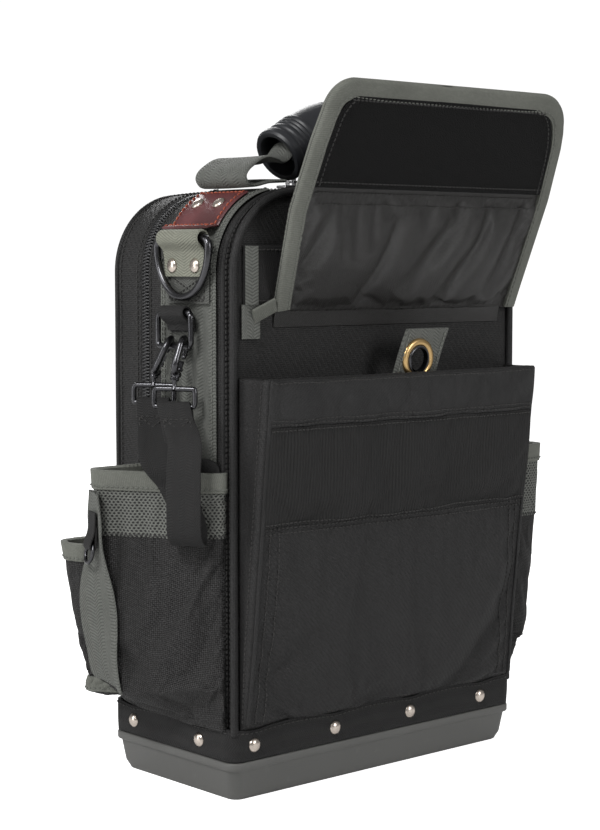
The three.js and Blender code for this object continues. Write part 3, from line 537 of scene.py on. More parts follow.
def painted_relief_stops(colour, low, high):
    """Ramp stops from a darker to a lighter shade of the colour; fed a height, they paint shade into low
    places and a highlight onto raised ones.
    """
    return [(0.0, tuple(c * low for c in colour)), (1.0, tuple(c * high for c in colour))]


def woven(
    name, colour, pitch, kind="plain", rough=0.75, sheen=0.1, bump=0.7,
    painted_relief=(0.45, 1.35), mottle=0.18, specular=0.4
):
    """Plain or twill cloth: thread relief, with painted shade between the threads and a painted highlight on
    their crowns, uneven threads, and faded, dusty patches.
    """
    s = Shader(
        name, rough, sheen=sheen, specular=specular, sheen_tint=tuple(min(1, c * 5 + 0.1) for c in colour)
    )
    h, one = s.threads(pitch, kind)
    # painted shade and highlight: the colour runs from darker to lighter with thread height
    col = s.ramp(h, painted_relief_stops(colour, *painted_relief))
    col = s.tint(col, s.ramp(one, [(0.0, 0.82), (1.0, 1.0)]))
    worn = s.noise(14, 4)
    col = s.tint(col, s.ramp(worn, [(0.3, 1.0 - mottle), (0.7, 1.0)]))
    dust = s.ramp(s.noise(55, 5), [(0.55, (0, 0, 0)), (0.85, tuple(0.5 * c + 0.006 for c in colour))])
    col = s.tint(col, dust, "ADD", 0.35)
    r = s.m("ADD", s.m("MULTIPLY", worn, 0.16), rough - 0.08)
    shine = s.m("MULTIPLY", h, s.m("ADD", s.m("MULTIPLY", one, specular * 0.45), specular * 0.8))
    s.link(s.m("ADD", shine, specular * 0.25), s.bsdf.inputs["Specular IOR Level"])
    return s.done(col, s.m("ADD", h, s.m("MULTIPLY", one, 0.12)), bump, pitch * 0.3, r)


def webbed(
    name, colour, rib=0.0018, zig=0.0048, slope=1.0, rough=0.78, sheen=0.12, bump=0.9, painted_relief=(0.4, 1.3)
):
    """Herringbone webbing; with slope 0 it is straight-ribbed tape."""
    s = Shader(name, rough, sheen=sheen, specular=0.35, sheen_tint=tuple(min(1, c * 3 + 0.1) for c in colour))
    zigzag = s.m("PINGPONG", s.m("DIVIDE", s.v, zig), 1.0)
    d = s.m("ADD", s.m("DIVIDE", s.u, rib), s.m("MULTIPLY", zigzag, slope * zig / rib))
    rib_h = s.m("POWER", s.m("ABSOLUTE", s.m("SINE", s.m("MULTIPLY", d, math.pi))), 0.6)
    fine = s.m("ABSOLUTE", s.m("SINE", s.m("MULTIPLY", s.v, math.pi / 0.0007)))
    h = s.m("ADD", s.m("MULTIPLY", rib_h, 0.8), s.m("MULTIPLY", fine, 0.2))
    # painted shade and highlight: the colour runs darker in the rib grooves and lighter on the ribs
    col = s.ramp(h, painted_relief_stops(colour, *painted_relief))
    worn = s.noise(30, 4)
    col = s.tint(col, s.ramp(worn, [(0.3, 0.78), (0.75, 1.0)]))
    speck = s.hash(s.m("FLOOR", d), s.m("FLOOR", s.m("DIVIDE", s.v, 0.0007)))
    col = s.tint(col, s.ramp(speck, [(0.0, 0.85), (1.0, 1.0)]))
    return s.done(col, h, bump, rib * 0.25)


def metal(name, colour, rough=0.28, scratch=0.5):
    """Plated metal with worn patches and fine scratches."""
    s = Shader(name, rough, metal=1.0)
    worn = s.noise(90, 5)
    fine = s.noise(1400, 3)
    col = s.ramp(
        worn, [(0.25, tuple(c * 0.75 for c in colour)), (0.75, tuple(min(1, c * 1.12) for c in colour))]
    )
    r = s.m("ADD", s.m("MULTIPLY", worn, 0.3), s.m("ADD", s.m("MULTIPLY", fine, 0.1), rough - 0.18))
    return s.done(col, s.m("ADD", s.m("MULTIPLY", fine, scratch), worn), 0.12, 0.0001, r)


def moulded(name, colour, rough, grain=2600, bump=0.25, mottle=0.08, coat=0.0, specular=0.5):
    s = Shader(name, rough, coat=coat, specular=specular)
    fine, wide = s.noise(grain, 2), s.noise(9, 4)
    scuff = s.ramp(s.noise(120, 6), [(0.62, 0.0), (0.72, 1.0)])
    col = s.ramp(
        wide,
        [(0.3, tuple(c * (1 - mottle) for c in colour)), (0.75, tuple(c * (1 + mottle) for c in colour))]
    )
    col = s.tint(col, scuff, "ADD", 0.012)
    r = s.m("ADD", s.m("MULTIPLY", wide, 0.2), s.m("ADD", s.m("MULTIPLY", fine, 0.12), rough - 0.15))
    return s.done(col, fine, bump, 0.00012, r)


def pile(name, colour, scale=1500, bump=1.0, sheen=0.1):
    s = Shader(name, 0.95, sheen=sheen, specular=0.15, sheen_tint=(0.5, 0.5, 0.5))
    tuft = s.cells(scale)
    fuzz = s.noise(3200, 4)
    worn = s.noise(40, 4)
    h = s.m("SUBTRACT", s.m("MULTIPLY", fuzz, 1.4), tuft)
    # painted shade and highlight: the colour runs darker between the tufts and lighter on their tops,
    # following the bump's height
    col = s.ramp(
        h, [(0.15, tuple(c * 0.25 for c in colour)), (0.55, colour), (0.9, tuple(c * 4.5 for c in colour))]
    )
    col = s.tint(col, s.ramp(worn, [(0.35, 0.7), (0.7, 1.0)]))
    return s.done(col, h, bump, 0.0006)


def netting(name, colour, hole, pitch=0.0026):
    """Mesh cloth: rows of small holes, offset from row to row."""
    s = Shader(name, 0.8, sheen=0.1, specular=0.3)
    y = s.m("DIVIDE", s.v, pitch * 0.62)
    odd = s.m("FLOORED_MODULO", s.m("FLOOR", y), 2.0)
    x = s.m("ADD", s.m("DIVIDE", s.u, pitch), s.m("MULTIPLY", odd, 0.5))
    dx = s.m("SUBTRACT", s.m("FRACT", x), 0.5)
    dy = s.m("SUBTRACT", s.m("FRACT", y), 0.5)
    r = s.m("SQRT", s.m("ADD", s.m("MULTIPLY", dx, dx), s.m("MULTIPLY", s.m("MULTIPLY", dy, dy), 0.7)))
    col = s.ramp(r, [(0.24, hole), (0.34, colour)])
    h = s.ramp(r, [(0.2, 0.0), (0.42, 1.0)])
    col = s.tint(col, s.ramp(s.noise(700, 3), [(0.3, 0.75), (0.7, 1.0)]))
    return s.done(col, h, 0.9, 0.0005)


def hide(name, colour):
    s = Shader(name, 0.42, coat=0.15, specular=0.5)
    pores, wide, fold = s.cells(900), s.noise(45, 5), s.noise(260, 6)
    col = s.ramp(wide, [(0.3, tuple(c * 0.6 for c in colour)), (0.75, tuple(c * 1.3 for c in colour))])
    h = s.m("ADD", s.m("MULTIPLY", pores, 0.6), fold)
    r = s.m("ADD", s.m("MULTIPLY", wide, 0.25), 0.28)
    return s.done(col, h, 0.55, 0.0003, r)


def thread(name, colour):
    s = Shader(name, 0.7, sheen=0.1, specular=0.3)
    twist = s.m("ABSOLUTE", s.m("SINE", s.m("MULTIPLY", s.m("ADD", s.u, s.v), math.pi / 0.0004)))
    # painted shade and highlight: the colour runs darker in the twist's grooves and lighter on its plies
    col = s.ramp(twist, painted_relief_stops(colour, 0.7, 1.2))
    return s.done(col, twist, 0.5, 0.0001)


MAT = {
    "base": moulded("base_plastic", (0.09, 0.09, 0.085), 0.5, bump=0.3),
    "canvas": woven(
        "body_canvas", (0.014, 0.0136, 0.0134), 0.0011, "twill", rough=0.68, painted_relief=(0.35, 1.6)
    ),
    "ballistic": woven(
        "pocket_canvas", (0.0145, 0.014, 0.0138), 0.0012, "plain", rough=0.66, painted_relief=(0.3, 1.7), bump=0.9
    ),
    "smooth": woven("pocket_face", (0.0115, 0.011, 0.011), 0.0008, "twill", rough=0.6, painted_relief=(0.55, 1.4)),
    "satin": woven(
        "hem_tape", (0.0115, 0.0112, 0.0112), 0.0006, "twill", rough=0.5, painted_relief=(0.6, 1.3), sheen=0.15
    ),
    "lining": woven(
        "flap_lining", (0.014, 0.013, 0.012), 0.0007, "plain", rough=0.36, painted_relief=(0.6, 1.25), sheen=0.1,
        specular=0.6
    ),
    "loops": webbed(
        "loop_band", (0.0105, 0.0102, 0.01), rib=0.0021, zig=0.004, slope=0.0, painted_relief=(0.35, 1.5),
        bump=1.0
    ),
    "binding": webbed(
        "grey_binding", (0.15, 0.155, 0.135), rib=0.0011, zig=0.004, slope=0.0, painted_relief=(0.6, 1.15),
        bump=0.6
    ),
    "grey_web": webbed("grey_webbing", (0.118, 0.122, 0.111), rib=0.0019, zig=0.005, slope=0.9),
    "patch_web": webbed("grey_patch", (0.085, 0.087, 0.08), rib=0.0015, zig=0.004, slope=1.0),
    "olive_web": webbed(
        "olive_roll", (0.23, 0.235, 0.19), rib=0.0016, zig=0.005, slope=0.0, painted_relief=(0.5, 1.15)
    ),
    "black_web": webbed(
        "black_webbing", (0.0115, 0.0112, 0.0112), rib=0.0016, zig=0.004, slope=0.8, painted_relief=(0.35, 1.6)
    ),
    "piping": woven("piping_tape", (0.013, 0.0127, 0.0127), 0.0009, "plain", rough=0.55, painted_relief=(0.5, 1.5)),
    "hook": pile("hook_panel", (0.003, 0.003, 0.003)),
    "net": netting("pocket_net", (0.15, 0.155, 0.14), (0.02, 0.02, 0.02)),
    "leather": hide("burgundy_leather", (0.105, 0.03, 0.032)),
    "nickel": metal("rivet_nickel", (0.68, 0.6, 0.53), 0.26),
    "gunmetal": metal("black_nickel", (0.085, 0.085, 0.09), 0.27),
    "brass": metal("grommet_brass", (0.62, 0.42, 0.19), 0.3),
    "steel": metal("slider_steel", (0.55, 0.55, 0.56), 0.25),
    "coil": moulded("zipper_coil", (0.015, 0.015, 0.016), 0.3, grain=1800, bump=0.1, specular=0.6),
    "rubber": moulded("grip_rubber", (0.016, 0.017, 0.02), 0.42, grain=3200, bump=0.35),
    "black": thread("thread_black", (0.03, 0.029, 0.028)),
    "grey": thread("thread_grey", (0.13, 0.135, 0.12)),
    "red": thread("thread_rust", (0.33, 0.075, 0.04)),
}


# ---- camera and studio ---------------------------------------------------------------------------------
def studio():
    """Camera, lamps, white room and floor."""
    scene = bpy.context.scene
    scene.view_settings.view_transform = "Standard"
    lens = bpy.data.cameras.new("camera")
    lens.lens, lens.sensor_width = 83.1, 36
    lens.clip_start, lens.clip_end = 0.05, 30
    camera = bpy.data.objects.new("camera", lens)
    camera.location = (-0.7894, -0.8710, 0.3053)
    camera.rotation_euler = (math.radians(85.4), 0, math.radians(-41.64))
    scene.collection.objects.link(camera)
    scene.camera = camera

    def lamp(name, place, aim, size, power, tall=None):
        light = bpy.data.lights.new(name, "AREA")
        light.shape = "RECTANGLE"
        light.size, light.size_y, light.energy = size, tall or size, power
        holder = bpy.data.objects.new(name, light)
        holder.location = place
        holder.rotation_mode = "QUATERNION"
        holder.rotation_quaternion = (Vector(aim) - Vector(place)).to_track_quat("-Z", "Y")
        scene.collection.objects.link(holder)

    lamp("key", (-1.5, -0.5, 1.5), (0, 0, 0.18), 0.55, 28)
    lamp("front", (0.35, -1.9, 0.9), (0, 0, 0.15), 0.7, 14)
    lamp("left", (-1.8, 0.7, 0.7), (0, 0, 0.2), 0.6, 11, 1.4)
    lamp("rim", (0.9, 1.5, 1.3), (0, 0, 0.25), 0.9, 16)
    world = bpy.data.worlds.new("studio")
    world.use_nodes = True
    world.node_tree.nodes["Background"].inputs[0].default_value = (1, 1, 1, 1)
    nodes, links = world.node_tree.nodes, world.node_tree.links
    ray, glow = nodes.new("ShaderNodeLightPath"), nodes.new("ShaderNodeMapRange")
    glow.inputs["To Min"].default_value = 0.24
    glow.inputs["To Max"].default_value = 1.05
    links.new(ray.outputs["Is Camera Ray"], glow.inputs["Value"])
    links.new(glow.outputs["Result"], nodes["Background"].inputs[1])
    scene.world = world

    mesh = bpy.data.meshes.new("floor")
    reach = 40.0
    mesh.from_pydata(
        [(-reach, -reach, 0), (reach, -reach, 0), (reach, reach, 0), (-reach, reach, 0)], [], [(0, 1, 2, 3)]
    )
    floor = bpy.data.objects.new("floor", mesh)
    s = Shader("floor_paper", 0.6, specular=0.2)
    s.done(s.ramp(s.noise(3, 3), [(0.0, 0.86), (1.0, 0.9)]), s.noise(900, 2), 0.05, 0.0001)
    s.bsdf.inputs["Emission Color"].default_value = (1, 1, 1, 1)
    seen = s.tree.nodes.new("ShaderNodeLightPath")
    s.link(s.m("MULTIPLY", seen.outputs["Is Camera Ray"], 0.85), s.bsdf.inputs["Emission Strength"])
    mesh.materials.append(s.mat)
    scene.collection.objects.link(floor)
    floor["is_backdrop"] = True


studio()


# ---- the flap's two bodies and points, listed for the pieces that span them ------------------------------
def on_flap(x, s, out=0.0):
    """A point of the leaned flap: x across from its middle, s up from its hinge, out of its inner face."""
    x, s, out = np.broadcast_arrays(x, s, out)
    y = -s * math.sin(LEAN) - out * math.cos(LEAN)
    z = s * math.cos(LEAN) - out * math.sin(LEAN)
    return FLAP_O + np.stack([x, y, z], -1)


FOLD = ("flap_lower", "flap_upper")
BLENDS = {FOLD: (*FOLD, tuple(on_flap(0, 34) / 1000), tuple(on_flap(0, 58) / 1000))}


# ---- base ------------------------------------------------------------------------------------------------
def build_base():
    """The moulded tub, the webbing band round the foot, its rivets and the rear foot cuff."""
    def ringed(inset, z, corner=8.0, half=BASE_HALF):
        outline = rounded(half[0] - inset, half[1] - inset, max(corner - inset * 0.3, 1.5), 8)
        return np.concatenate([outline, np.full((len(outline), 1), z)], 1)

    up = (BX - 3.3, BY - 3.3)
    rows = [
        ringed(50, 0.6), ringed(12, 0.6), ringed(9, 0), ringed(6.8, 0), ringed(6.1, 0.5), ringed(5.8, 1.3),
        ringed(3.9, 5), ringed(1.95, 17.2)
    ]
    rows += [
        ringed(1.7, 17.7), ringed(0.3, 18.4), ringed(0, 19), ringed(0, 22.2), ringed(0.35, 22.8),
        ringed(0.9, 23), ringed(4.2, 23)
    ]
    rows += [
        ringed(0, 23.2, 4, up), ringed(0, 39.6, 4, up), ringed(0.4, 40, 4, up), ringed(2.1, 40, 4, up),
        ringed(2.5, 39.6, 4, up), ringed(2.5, 24, 4, up)
    ]
    rows += [ringed(3, 21, 4, up), ringed(5, 4.2, 6, up), ringed(6.5, 3, 6, up), ringed(40, 3.0, 6, up)]
    flat = lambda row: row * [0.55, 0.06, 1]
    Soup().grid([flat(rows[0]), *rows, flat(rows[-1])], wrap=True, caps=True).build(
        "moulded_base", MAT["base"], nodes=["base_tub"], slot="base_plastic", sharp=42
    )

    # the band: webbing round the foot, drawn in a little at each rivet
    outline = rounded(BX + 0.35, BY + 0.35, 5.5, 8)
    path = resample(np.concatenate([outline, outline[:1]]), 361)[:-1]
    out = unit(np.stack([np.gradient(path[:, 1]), -np.gradient(path[:, 0])], 1))
    levels = np.linspace(0, 1, 12)
    rivets = rivet_spots()
    away = np.min([np.linalg.norm(path - vec(r[1][0], r[1][1]), axis=1) for r in rivets], 0)
    pull = np.exp(-((away / 9) ** 2))
    P = []
    for t in levels:
        z = BAND_LOW + 0.1 + (BAND_TOP - BAND_LOW + 1.2) * t
        wave = (1 - pull) * (0.9 * t**2) + 0.35 * np.sin(away / 6 + 3 * t)
        thick = 1.55 + 0.4 * (1 - pull) * math.sin(math.pi * t) + wave * 0.35
        P.append(np.concatenate([path + out * thick[:, None], (z + wave * 0.8 - 1.1 * t * pull)[:, None]], 1))
    P = np.array(P)
    inner = np.concatenate([np.broadcast_to(path, (len(P), *path.shape)), P[..., 2:]], -1)
    rows = np.concatenate([inner[:1], P, inner[::-1]])
    Soup().grid(rows.transpose(1, 0, 2), ring=True).build(
        "foot_band", MAT["black_web"], nodes=["base_band"], slot="black_webbing"
    )
    line = P[10]
    normal = np.concatenate([out, np.zeros((len(out), 1))], 1)
    THREAD.row(("root", "black"), np.concatenate([line, line[:1]]), np.concatenate([normal, normal[:1]]), 3.4)
    for name, place, out_dir in rivets:
        profile = [
            (0, -2.2), (3.4, -2.2), (4.15, 0.05), (4.2, 0.35), (3.95, 0.8), (3.3, 1.5), (2.2, 2.05),
            (1.1, 2.3), (0, 2.38)
        ]
        Soup().turned(np.array(place) - np.array(out_dir) * 0.25, out_dir, profile, 28).build(
            name.replace("base_", ""), MAT["nickel"], nodes=[name], slot="rivet_metal", sharp=60
        )

    # the rear foot cuff, a low strip of the body's own cloth under the cover
    outline = np.array(
        [
            (BX - 0.2, GUSSET_BACK), (BX - 0.2, BY - 6), (BX - 2, BY - 2), (BX - 6, BY - 0.2),
            (-BX + 6, BY - 0.2), (-BX + 2, BY - 2), (-BX + 0.2, BY - 6), (-BX + 0.2, GUSSET_BACK)
        ]
    )
    line = resample(outline, 150)
    P = np.array(
        [np.concatenate([line, np.full((150, 1), z)], 1) for z in np.linspace(BAND_LOW + 0.4, 44, 9)]
    )
    Soup().sheet(P, 2.6).build("rear_foot_cuff", MAT["canvas"], nodes=["back_cuff"], slot="black_fabric")


def rivet_spots():
    """Name, place and outward direction of each rivet in the base."""
    out = []
    fy, fx = BY + 0.3 + 1.8, BX + 0.3 + 1.8
    for i in range(4):
        x = 13.6 - BX + 62 * i
        out.append((f"base_rivet_front_{i + 1}", (x, -fy, 32), (0, -1, 0)))
        out.append((f"base_rivet_back_{i + 1}", (-x, fy, 32), (0, 1, 0)))
    for i in range(2):
        y = 28.8 - BY + 62 * i
        out.append((f"base_rivet_left_{i + 1}", (-fx, y, 32), (-1, 0, 0)))
        out.append((f"base_rivet_right_{i + 1}", (fx, y, 32), (1, 0, 0)))
    return [(n, np.array(p[:3]), d) for n, p, d in out]


# ---- body ------------------------------------------------------------------------------------------------
def arched_panel(offset, bottom, y, crown, seed, columns=120, rows=110, edge=5.0, rough=0.35):
    """An upright padded panel under the arch, facing the side that crown points to."""
    half = BX + offset
    x = half * np.sin(np.linspace(-np.pi / 2, np.pi / 2, columns)) * 0.9995
    top = arch_height(x, offset)
    t = np.linspace(0, 1, rows)
    t = t - 0.03 * np.sin(2 * np.pi * t)
    X = np.broadcast_to(x, (rows, columns))
    Z = bottom + (top - bottom)[None] * t[:, None]
    gap = np.minimum(np.minimum(half - np.abs(X), Z - bottom), (top[None] - Z))
    Y = y + crown * (ease(gap / edge) - 1) + np.sign(crown) * rough * ripple(
        np.stack([X, X * 0, Z], -1), 38, seed
    )
    P = np.stack([X, Y, Z], -1)
    return P if crown < 0 else P[:, ::-1]


def wall_strip(offset_at, y0, y1, bottom, count=240, across=26, seed=1, rough=0.3, dips=()):
    """The arched wall of the bag, from y0 to y1; dips are (y, width, depth) grooves along it."""
    path, out = arch(0, bottom, count)
    y = np.linspace(y0, y1, across)
    P = np.concatenate(
        [
            np.repeat(path[:, :1], across, 1)[..., None], np.broadcast_to(y, (count, across))[..., None],
            np.repeat(path[:, 1:], across, 1)[..., None]
        ],
        -1
    )
    off = offset_at(y)[None] + rough * (ripple(P, 34, seed) - 0.7)
    for place, width, depth in dips:
        off = off - depth * np.exp(-(((y - place) / width) ** 2))[None]
    P[..., 0] += out[:, :1] * off
    P[..., 2] += out[:, 1:] * off
    return P


def arched_bead(y, offset, radius, bottom, name, material, body="root", nodes=()):
    """A covered cord along the arch, on the seam at y; its line and normals come back."""
    path, out = arch(offset, bottom, 300)
    line = np.stack([path[:, 0], np.full(300, y), path[:, 1]], 1)
    tube(line, radius, 12).build(name, material, body, nodes, "black_webbing")
    return line, np.stack([out[:, 0], out[:, 0] * 0, out[:, 1]], 1)


def build_body():
    """Front panel, gusset, piping and the band behind the flap."""
    P = arched_panel(-1.7, BAND_LOW, -BY + 0.1, -1.6, 2)
    Soup().sheet(P, 2.6).build(
            "front_panel_pad", MAT["canvas"], nodes=["front_panel"], slot="black_fabric"
        )
    P = wall_strip(
        lambda y: -1.6 * (1 - ease((y + 51) / 4)) - 0.9 * (1 - ease((22.7 - y) / 3)), -51, GUSSET_BACK,
        BAND_LOW, 260, 44, 3, 0.3, [(-49.6, 1.6, 1.6)]
    )
    Soup().sheet(P, 2.6).build("gusset", MAT["ballistic"], nodes=["gusset_shell"], slot="black_fabric")
    line, normal = arched_bead(
        -54.6, -0.7, 2.3, BAND_TOP - 1, "front_piping_cord", MAT["piping"], nodes=["front_piping"]
    )
    rear, _ = arched_bead(-46.6, -0.5, 1.9, BAND_TOP - 1, "gusset_piping_cord", MAT["piping"])
    for shift, base in ((2.9, line), (-2.6, rear)):
        THREAD.row(
            ("root", "black"), base + [0, shift, 0] + normal * (0.2 if shift > 0 else 0.3), normal, 3.0
        )
    path, n = arch(0, BAND_TOP, 260)
    THREAD.row(
        ("root", "black"), np.stack([path[:, 0], np.full(260, GUSSET_BACK - 3.2), path[:, 1]], 1),
        np.stack([n[:, 0], n[:, 0] * 0, n[:, 1]], 1), 3.0
    )

    # herringbone band across the front panel, with a grey folded end
    x = np.linspace(-106.5, 106.5, 120)
    C = np.stack([x, np.full(120, -56.1), np.full(120, 297.2)], 1)
    C[:, 1] += 0.25 * np.sin(x / 17)
    band(C, vec(0, 0, -1), vec(0, -1, 0), 33.4, 1.7).build(
        "panel_band", MAT["black_web"], nodes=["panel_webbing"], slot="black_webbing"
    )
    e = np.linspace(281, 313.6, 30)
    grey = np.stack([np.full(30, -101.6), np.full(30, -57.3), e], 1)
    band(grey, vec(1, 0, 0), vec(0, -1, 0), 9.4, 1.0).build(
        "panel_band_end", MAT["grey_web"], slot="grey_webbing"
    )
    for z in (283, 311.5):
        THREAD.row(("root", "black"), np.stack([x, C[:, 1] - 0.85, np.full(120, z)], 1), vec(0, -1, 0), 3.1)


def build_tool_panel():
    """Inside: the stiffened tool panel and its two rows of pockets."""
    P = arched_panel(-6.5, 41, -48.6, 0.8, 5, 70, 60, 3, 0.15)
    Soup().sheet(P + [0, 2.0, 0], 2.0).build(
        "tool_panel_board", MAT["lining"], nodes=["tool_panel"], slot="lining_fabric"
    )
    for name, half, low, high, depth, cells in (
        ("tool_pocket_lower", 100, 44, 150, 24.5, 4), ("tool_pocket_upper", 92, 168, 252, 14.5, 3)
    ):
        x = np.linspace(-half + 0.3, half - 0.3, cells * 26 + 1)
        z = np.linspace(0, 1, 30)
        phase = np.abs(np.sin((x + half) / (2 * half) * cells * np.pi)) ** 0.45
        X, T = np.meshgrid(x, z)
        full = ease(T / 0.12) * (0.86 + 0.14 * T)
        Y = -45.8 + depth * phase[None] * full + 0.25 * ripple(np.stack([X, T * 50, X * 0], -1), 22, 8)
        Z = low + (high - low) * T + 0.9 * phase[None] * T
        P = np.stack([X, Y, Z], -1)[:, ::-1]
        Soup().sheet(P, 1.3).build(name + "_cloth", MAT["smooth"], nodes=[name], slot="black_fabric")
        trim(P, -1, 7.5).build(name + "_binding", MAT["binding"], slot="binding")
        for c in range(cells + 1):
            at_x = -half + 0.3 + (2 * half - 0.6) * c / cells
            THREAD.row(
                ("root", "black"),
                np.stack([np.full(40, at_x), np.full(40, -45.6), np.linspace(low + 2, high - 8, 40)], 1),
                vec(0, 1, 0), 3.2
            )


def trim(P, row, width):
    """A folded binding over one edge of the grid P (its first or last row), lying on both of its faces."""
    edge, n = P[row], face_normals(P)[row]
    step = 1 if row == 0 else -1
    inward = unit(P[row + step * 3] - P[row])
    half, thickness = 0.9, 0.9
    full = half + thickness
    shape = [
        (1, half + 0.1), (0.97, full), (0.5, full + 0.15), (0.12, full),
        (0.02, half * 0.9 + thickness * 0.6), (-0.08, 0)
    ]
    back = [(a, -b) for a, b in shape[-2::-1]]
    reach = lambda a: a * width if a > 0 else a * 9
    rows = np.array([edge + inward * reach(a) + n * b - n * 0.75 for a, b in shape + back])
    return Soup().grid(rows.transpose(1, 0, 2), wrap=True, caps=True)


# ---- tablet pocket ---------------------------------------------------------------------------------------
def pocket_y(z):
    """How far forward the tablet pocket's face stands at that height."""
    return -60.3 - 20.5 * (z - 41.5) / 198.5


def build_tablet_pocket():
    """One cloth carried round from the panel, along the wedge side, across the face and back."""
    half, corner = 109.6, 4.5
    z = np.concatenate([np.linspace(41.0, 47, 6)[:-1], np.linspace(47, 239.6, 96)])
    rows = []
    for height in z:
        tuck = ease((height - 40.8) / 5.5)
        face = PANEL_FACE - 0.4 + (pocket_y(height) - PANEL_FACE + 0.4) * tuck
        depth = PANEL_FACE - face
        c = min(corner, depth * 0.45)
        side = np.linspace(PANEL_FACE - 0.1, face + c, 14)
        pleat = 1.6 * np.sin(np.linspace(0, np.pi, 14)) * ease((height - 60) / 150)
        turn = np.linspace(0, np.pi / 2, 6)[1:-1]
        left = [(-half + p, y) for p, y in zip(pleat, side)]
        left += [(-half + c - c * math.cos(a), face + c - c * math.sin(a)) for a in turn]
        x = np.linspace(-half + c, half - c, 120)
        front = [(v, face) for v in x]
        rows.append(np.array(left + front + [(-a, b) for a, b in left[::-1]]))
    P = np.array(rows)
    P = np.concatenate([P, np.repeat(z[:, None, None], P.shape[1], 1)], -1)
    X, Z = P[..., 0], P[..., 2]
    on_face = ease((60 - np.abs(np.arange(P.shape[1]) - (P.shape[1] - 1) / 2)) / 12)[None] * np.ones_like(X)
    rise = ease((Z - 44) / 120)
    bow = np.cos(np.clip(X / half, -1, 1) * np.pi / 2)
    out = 2.0 * bow**0.7 * rise + 1.2 * ripple(np.stack([X, X * 0, Z * 1.3], -1), 48, 4) * rise
    out += crease(X, Z, (-104, 150), (-40, 162), 7, -0.9) + crease(X, Z, (30, 158), (104, 140), 8, -1.0)
    out += crease(
        X, Z, (-100, 64), (-62, 98), 9, 2.2
    ) + crease(X, Z, (62, 52), (104, 100), 10, 2.6) + crease(X, Z, (40, 47), (98, 58), 6, 1.6)
    out += crease(X, Z, (-70, 52), (10, 47), 6, 1.6) + crease(X, Z, (70, 120), (106, 84), 9, 2.2)
    P[..., 1] -= out * on_face
    pin = np.zeros(P.shape[:2])
    pin[:1] = pin[-1:] = 1
    pin[:, :19] = pin[:, -19:] = 1
    seam_rows = [int(np.argmin(np.abs(z - s))) for s in (LOOP_SEAM, HEM_SEAM)]
    for r in seam_rows:
        pin[r] = np.maximum(pin[r], 0.75)
    P = relax(P, pin, grow=0.012, pressure=0.2, frames=14, cap=3.5, bending=0.8)
    Soup().sheet(P, 1.8).build(
        "tablet_pocket_cloth", MAT["smooth"], nodes=["tablet_pocket"], slot="black_fabric"
    )

    rows_at = lambda height: float(np.interp(height, P[:, 60, 2], np.arange(len(z))))

    def overlay(low, high, lift, thickness, material, name, nodes, slot, puff):
        """Tape laid on the face between two heights; its middle stands off by puff."""
        v0 = 16.5
        u = np.linspace(rows_at(low), rows_at(high), max(6, int((high - low) / 2.2)))
        v = np.linspace(v0, P.shape[1] - 1 - v0, 130)
        U, V = np.meshgrid(u, v, indexing="ij")
        Q, N = at(P, U, V)
        t = (U - u[0]) / (u[-1] - u[0])
        Q = Q + N * (lift + thickness + puff * np.sin(np.pi * t))[..., None]
        # the map runs along the width, so that the ribs stand upright
        Soup().sheet(Q.transpose(1, 0, 2)[:, ::-1], thickness).build(name, material, nodes=nodes, slot=slot)
        return Q

    overlay(158, 213.4, 0.05, 1.0, MAT["loops"], "loop_band_cloth", ["loop_band"], "loop_tape", puff=0.8)
    hem = overlay(
        214.2, 240.6, 0.1, 1.1, MAT["satin"], "pocket_hem_tape", ["pocket_hem"], "black_fabric", puff=0.4
    )
    # the hem rolls over the mouth
    lip = np.array(
        [
            hem[-1], hem[-1] + [0, 1.0, 1.1], hem[-1] + [0, 2.6, 1.2], hem[-1] + [0, 3.7, 0],
            hem[-1] + [0, 3.6, -9]
        ]
    )
    Soup().sheet(lip, 0.5).build("pocket_hem_roll", MAT["satin"], slot="black_fabric")
    for height, lift in (
        (215.4, 1.3), (217.6, 1.3), (238.2, 1.3), (211.8, 1.25), (159.2, 1.2), (156.4, 0.05), (153.6, 0.05)
    ):
        u = rows_at(height)
        Q, N = at(P, np.full(260, u), np.linspace(17.5, P.shape[1] - 18.5, 260))
        THREAD.row(("root", "black"), Q + N * lift, N, 3.0)
    # corner seams: a narrow stitched fold down each edge of the face and a line on the wedge
    for mirror in (0, 1):
        for v, lift in ((16.9, 0.0), (20.2, 0.05), (23.6, 0.05), (12.2, 0.0)):
            col = P.shape[1] - 1 - v if mirror else v
            Q, N = at(P, np.linspace(rows_at(44), rows_at(238), 220), np.full(220, col))
            if v == 16.9:
                tube(Q + N * 0.3, 1.15, 8).build(
                    f"pocket_corner_cord_{mirror}", MAT["satin"], slot="black_fabric"
                )
            else:
                THREAD.row(("root", "black"), Q + N * lift, N, 3.0)


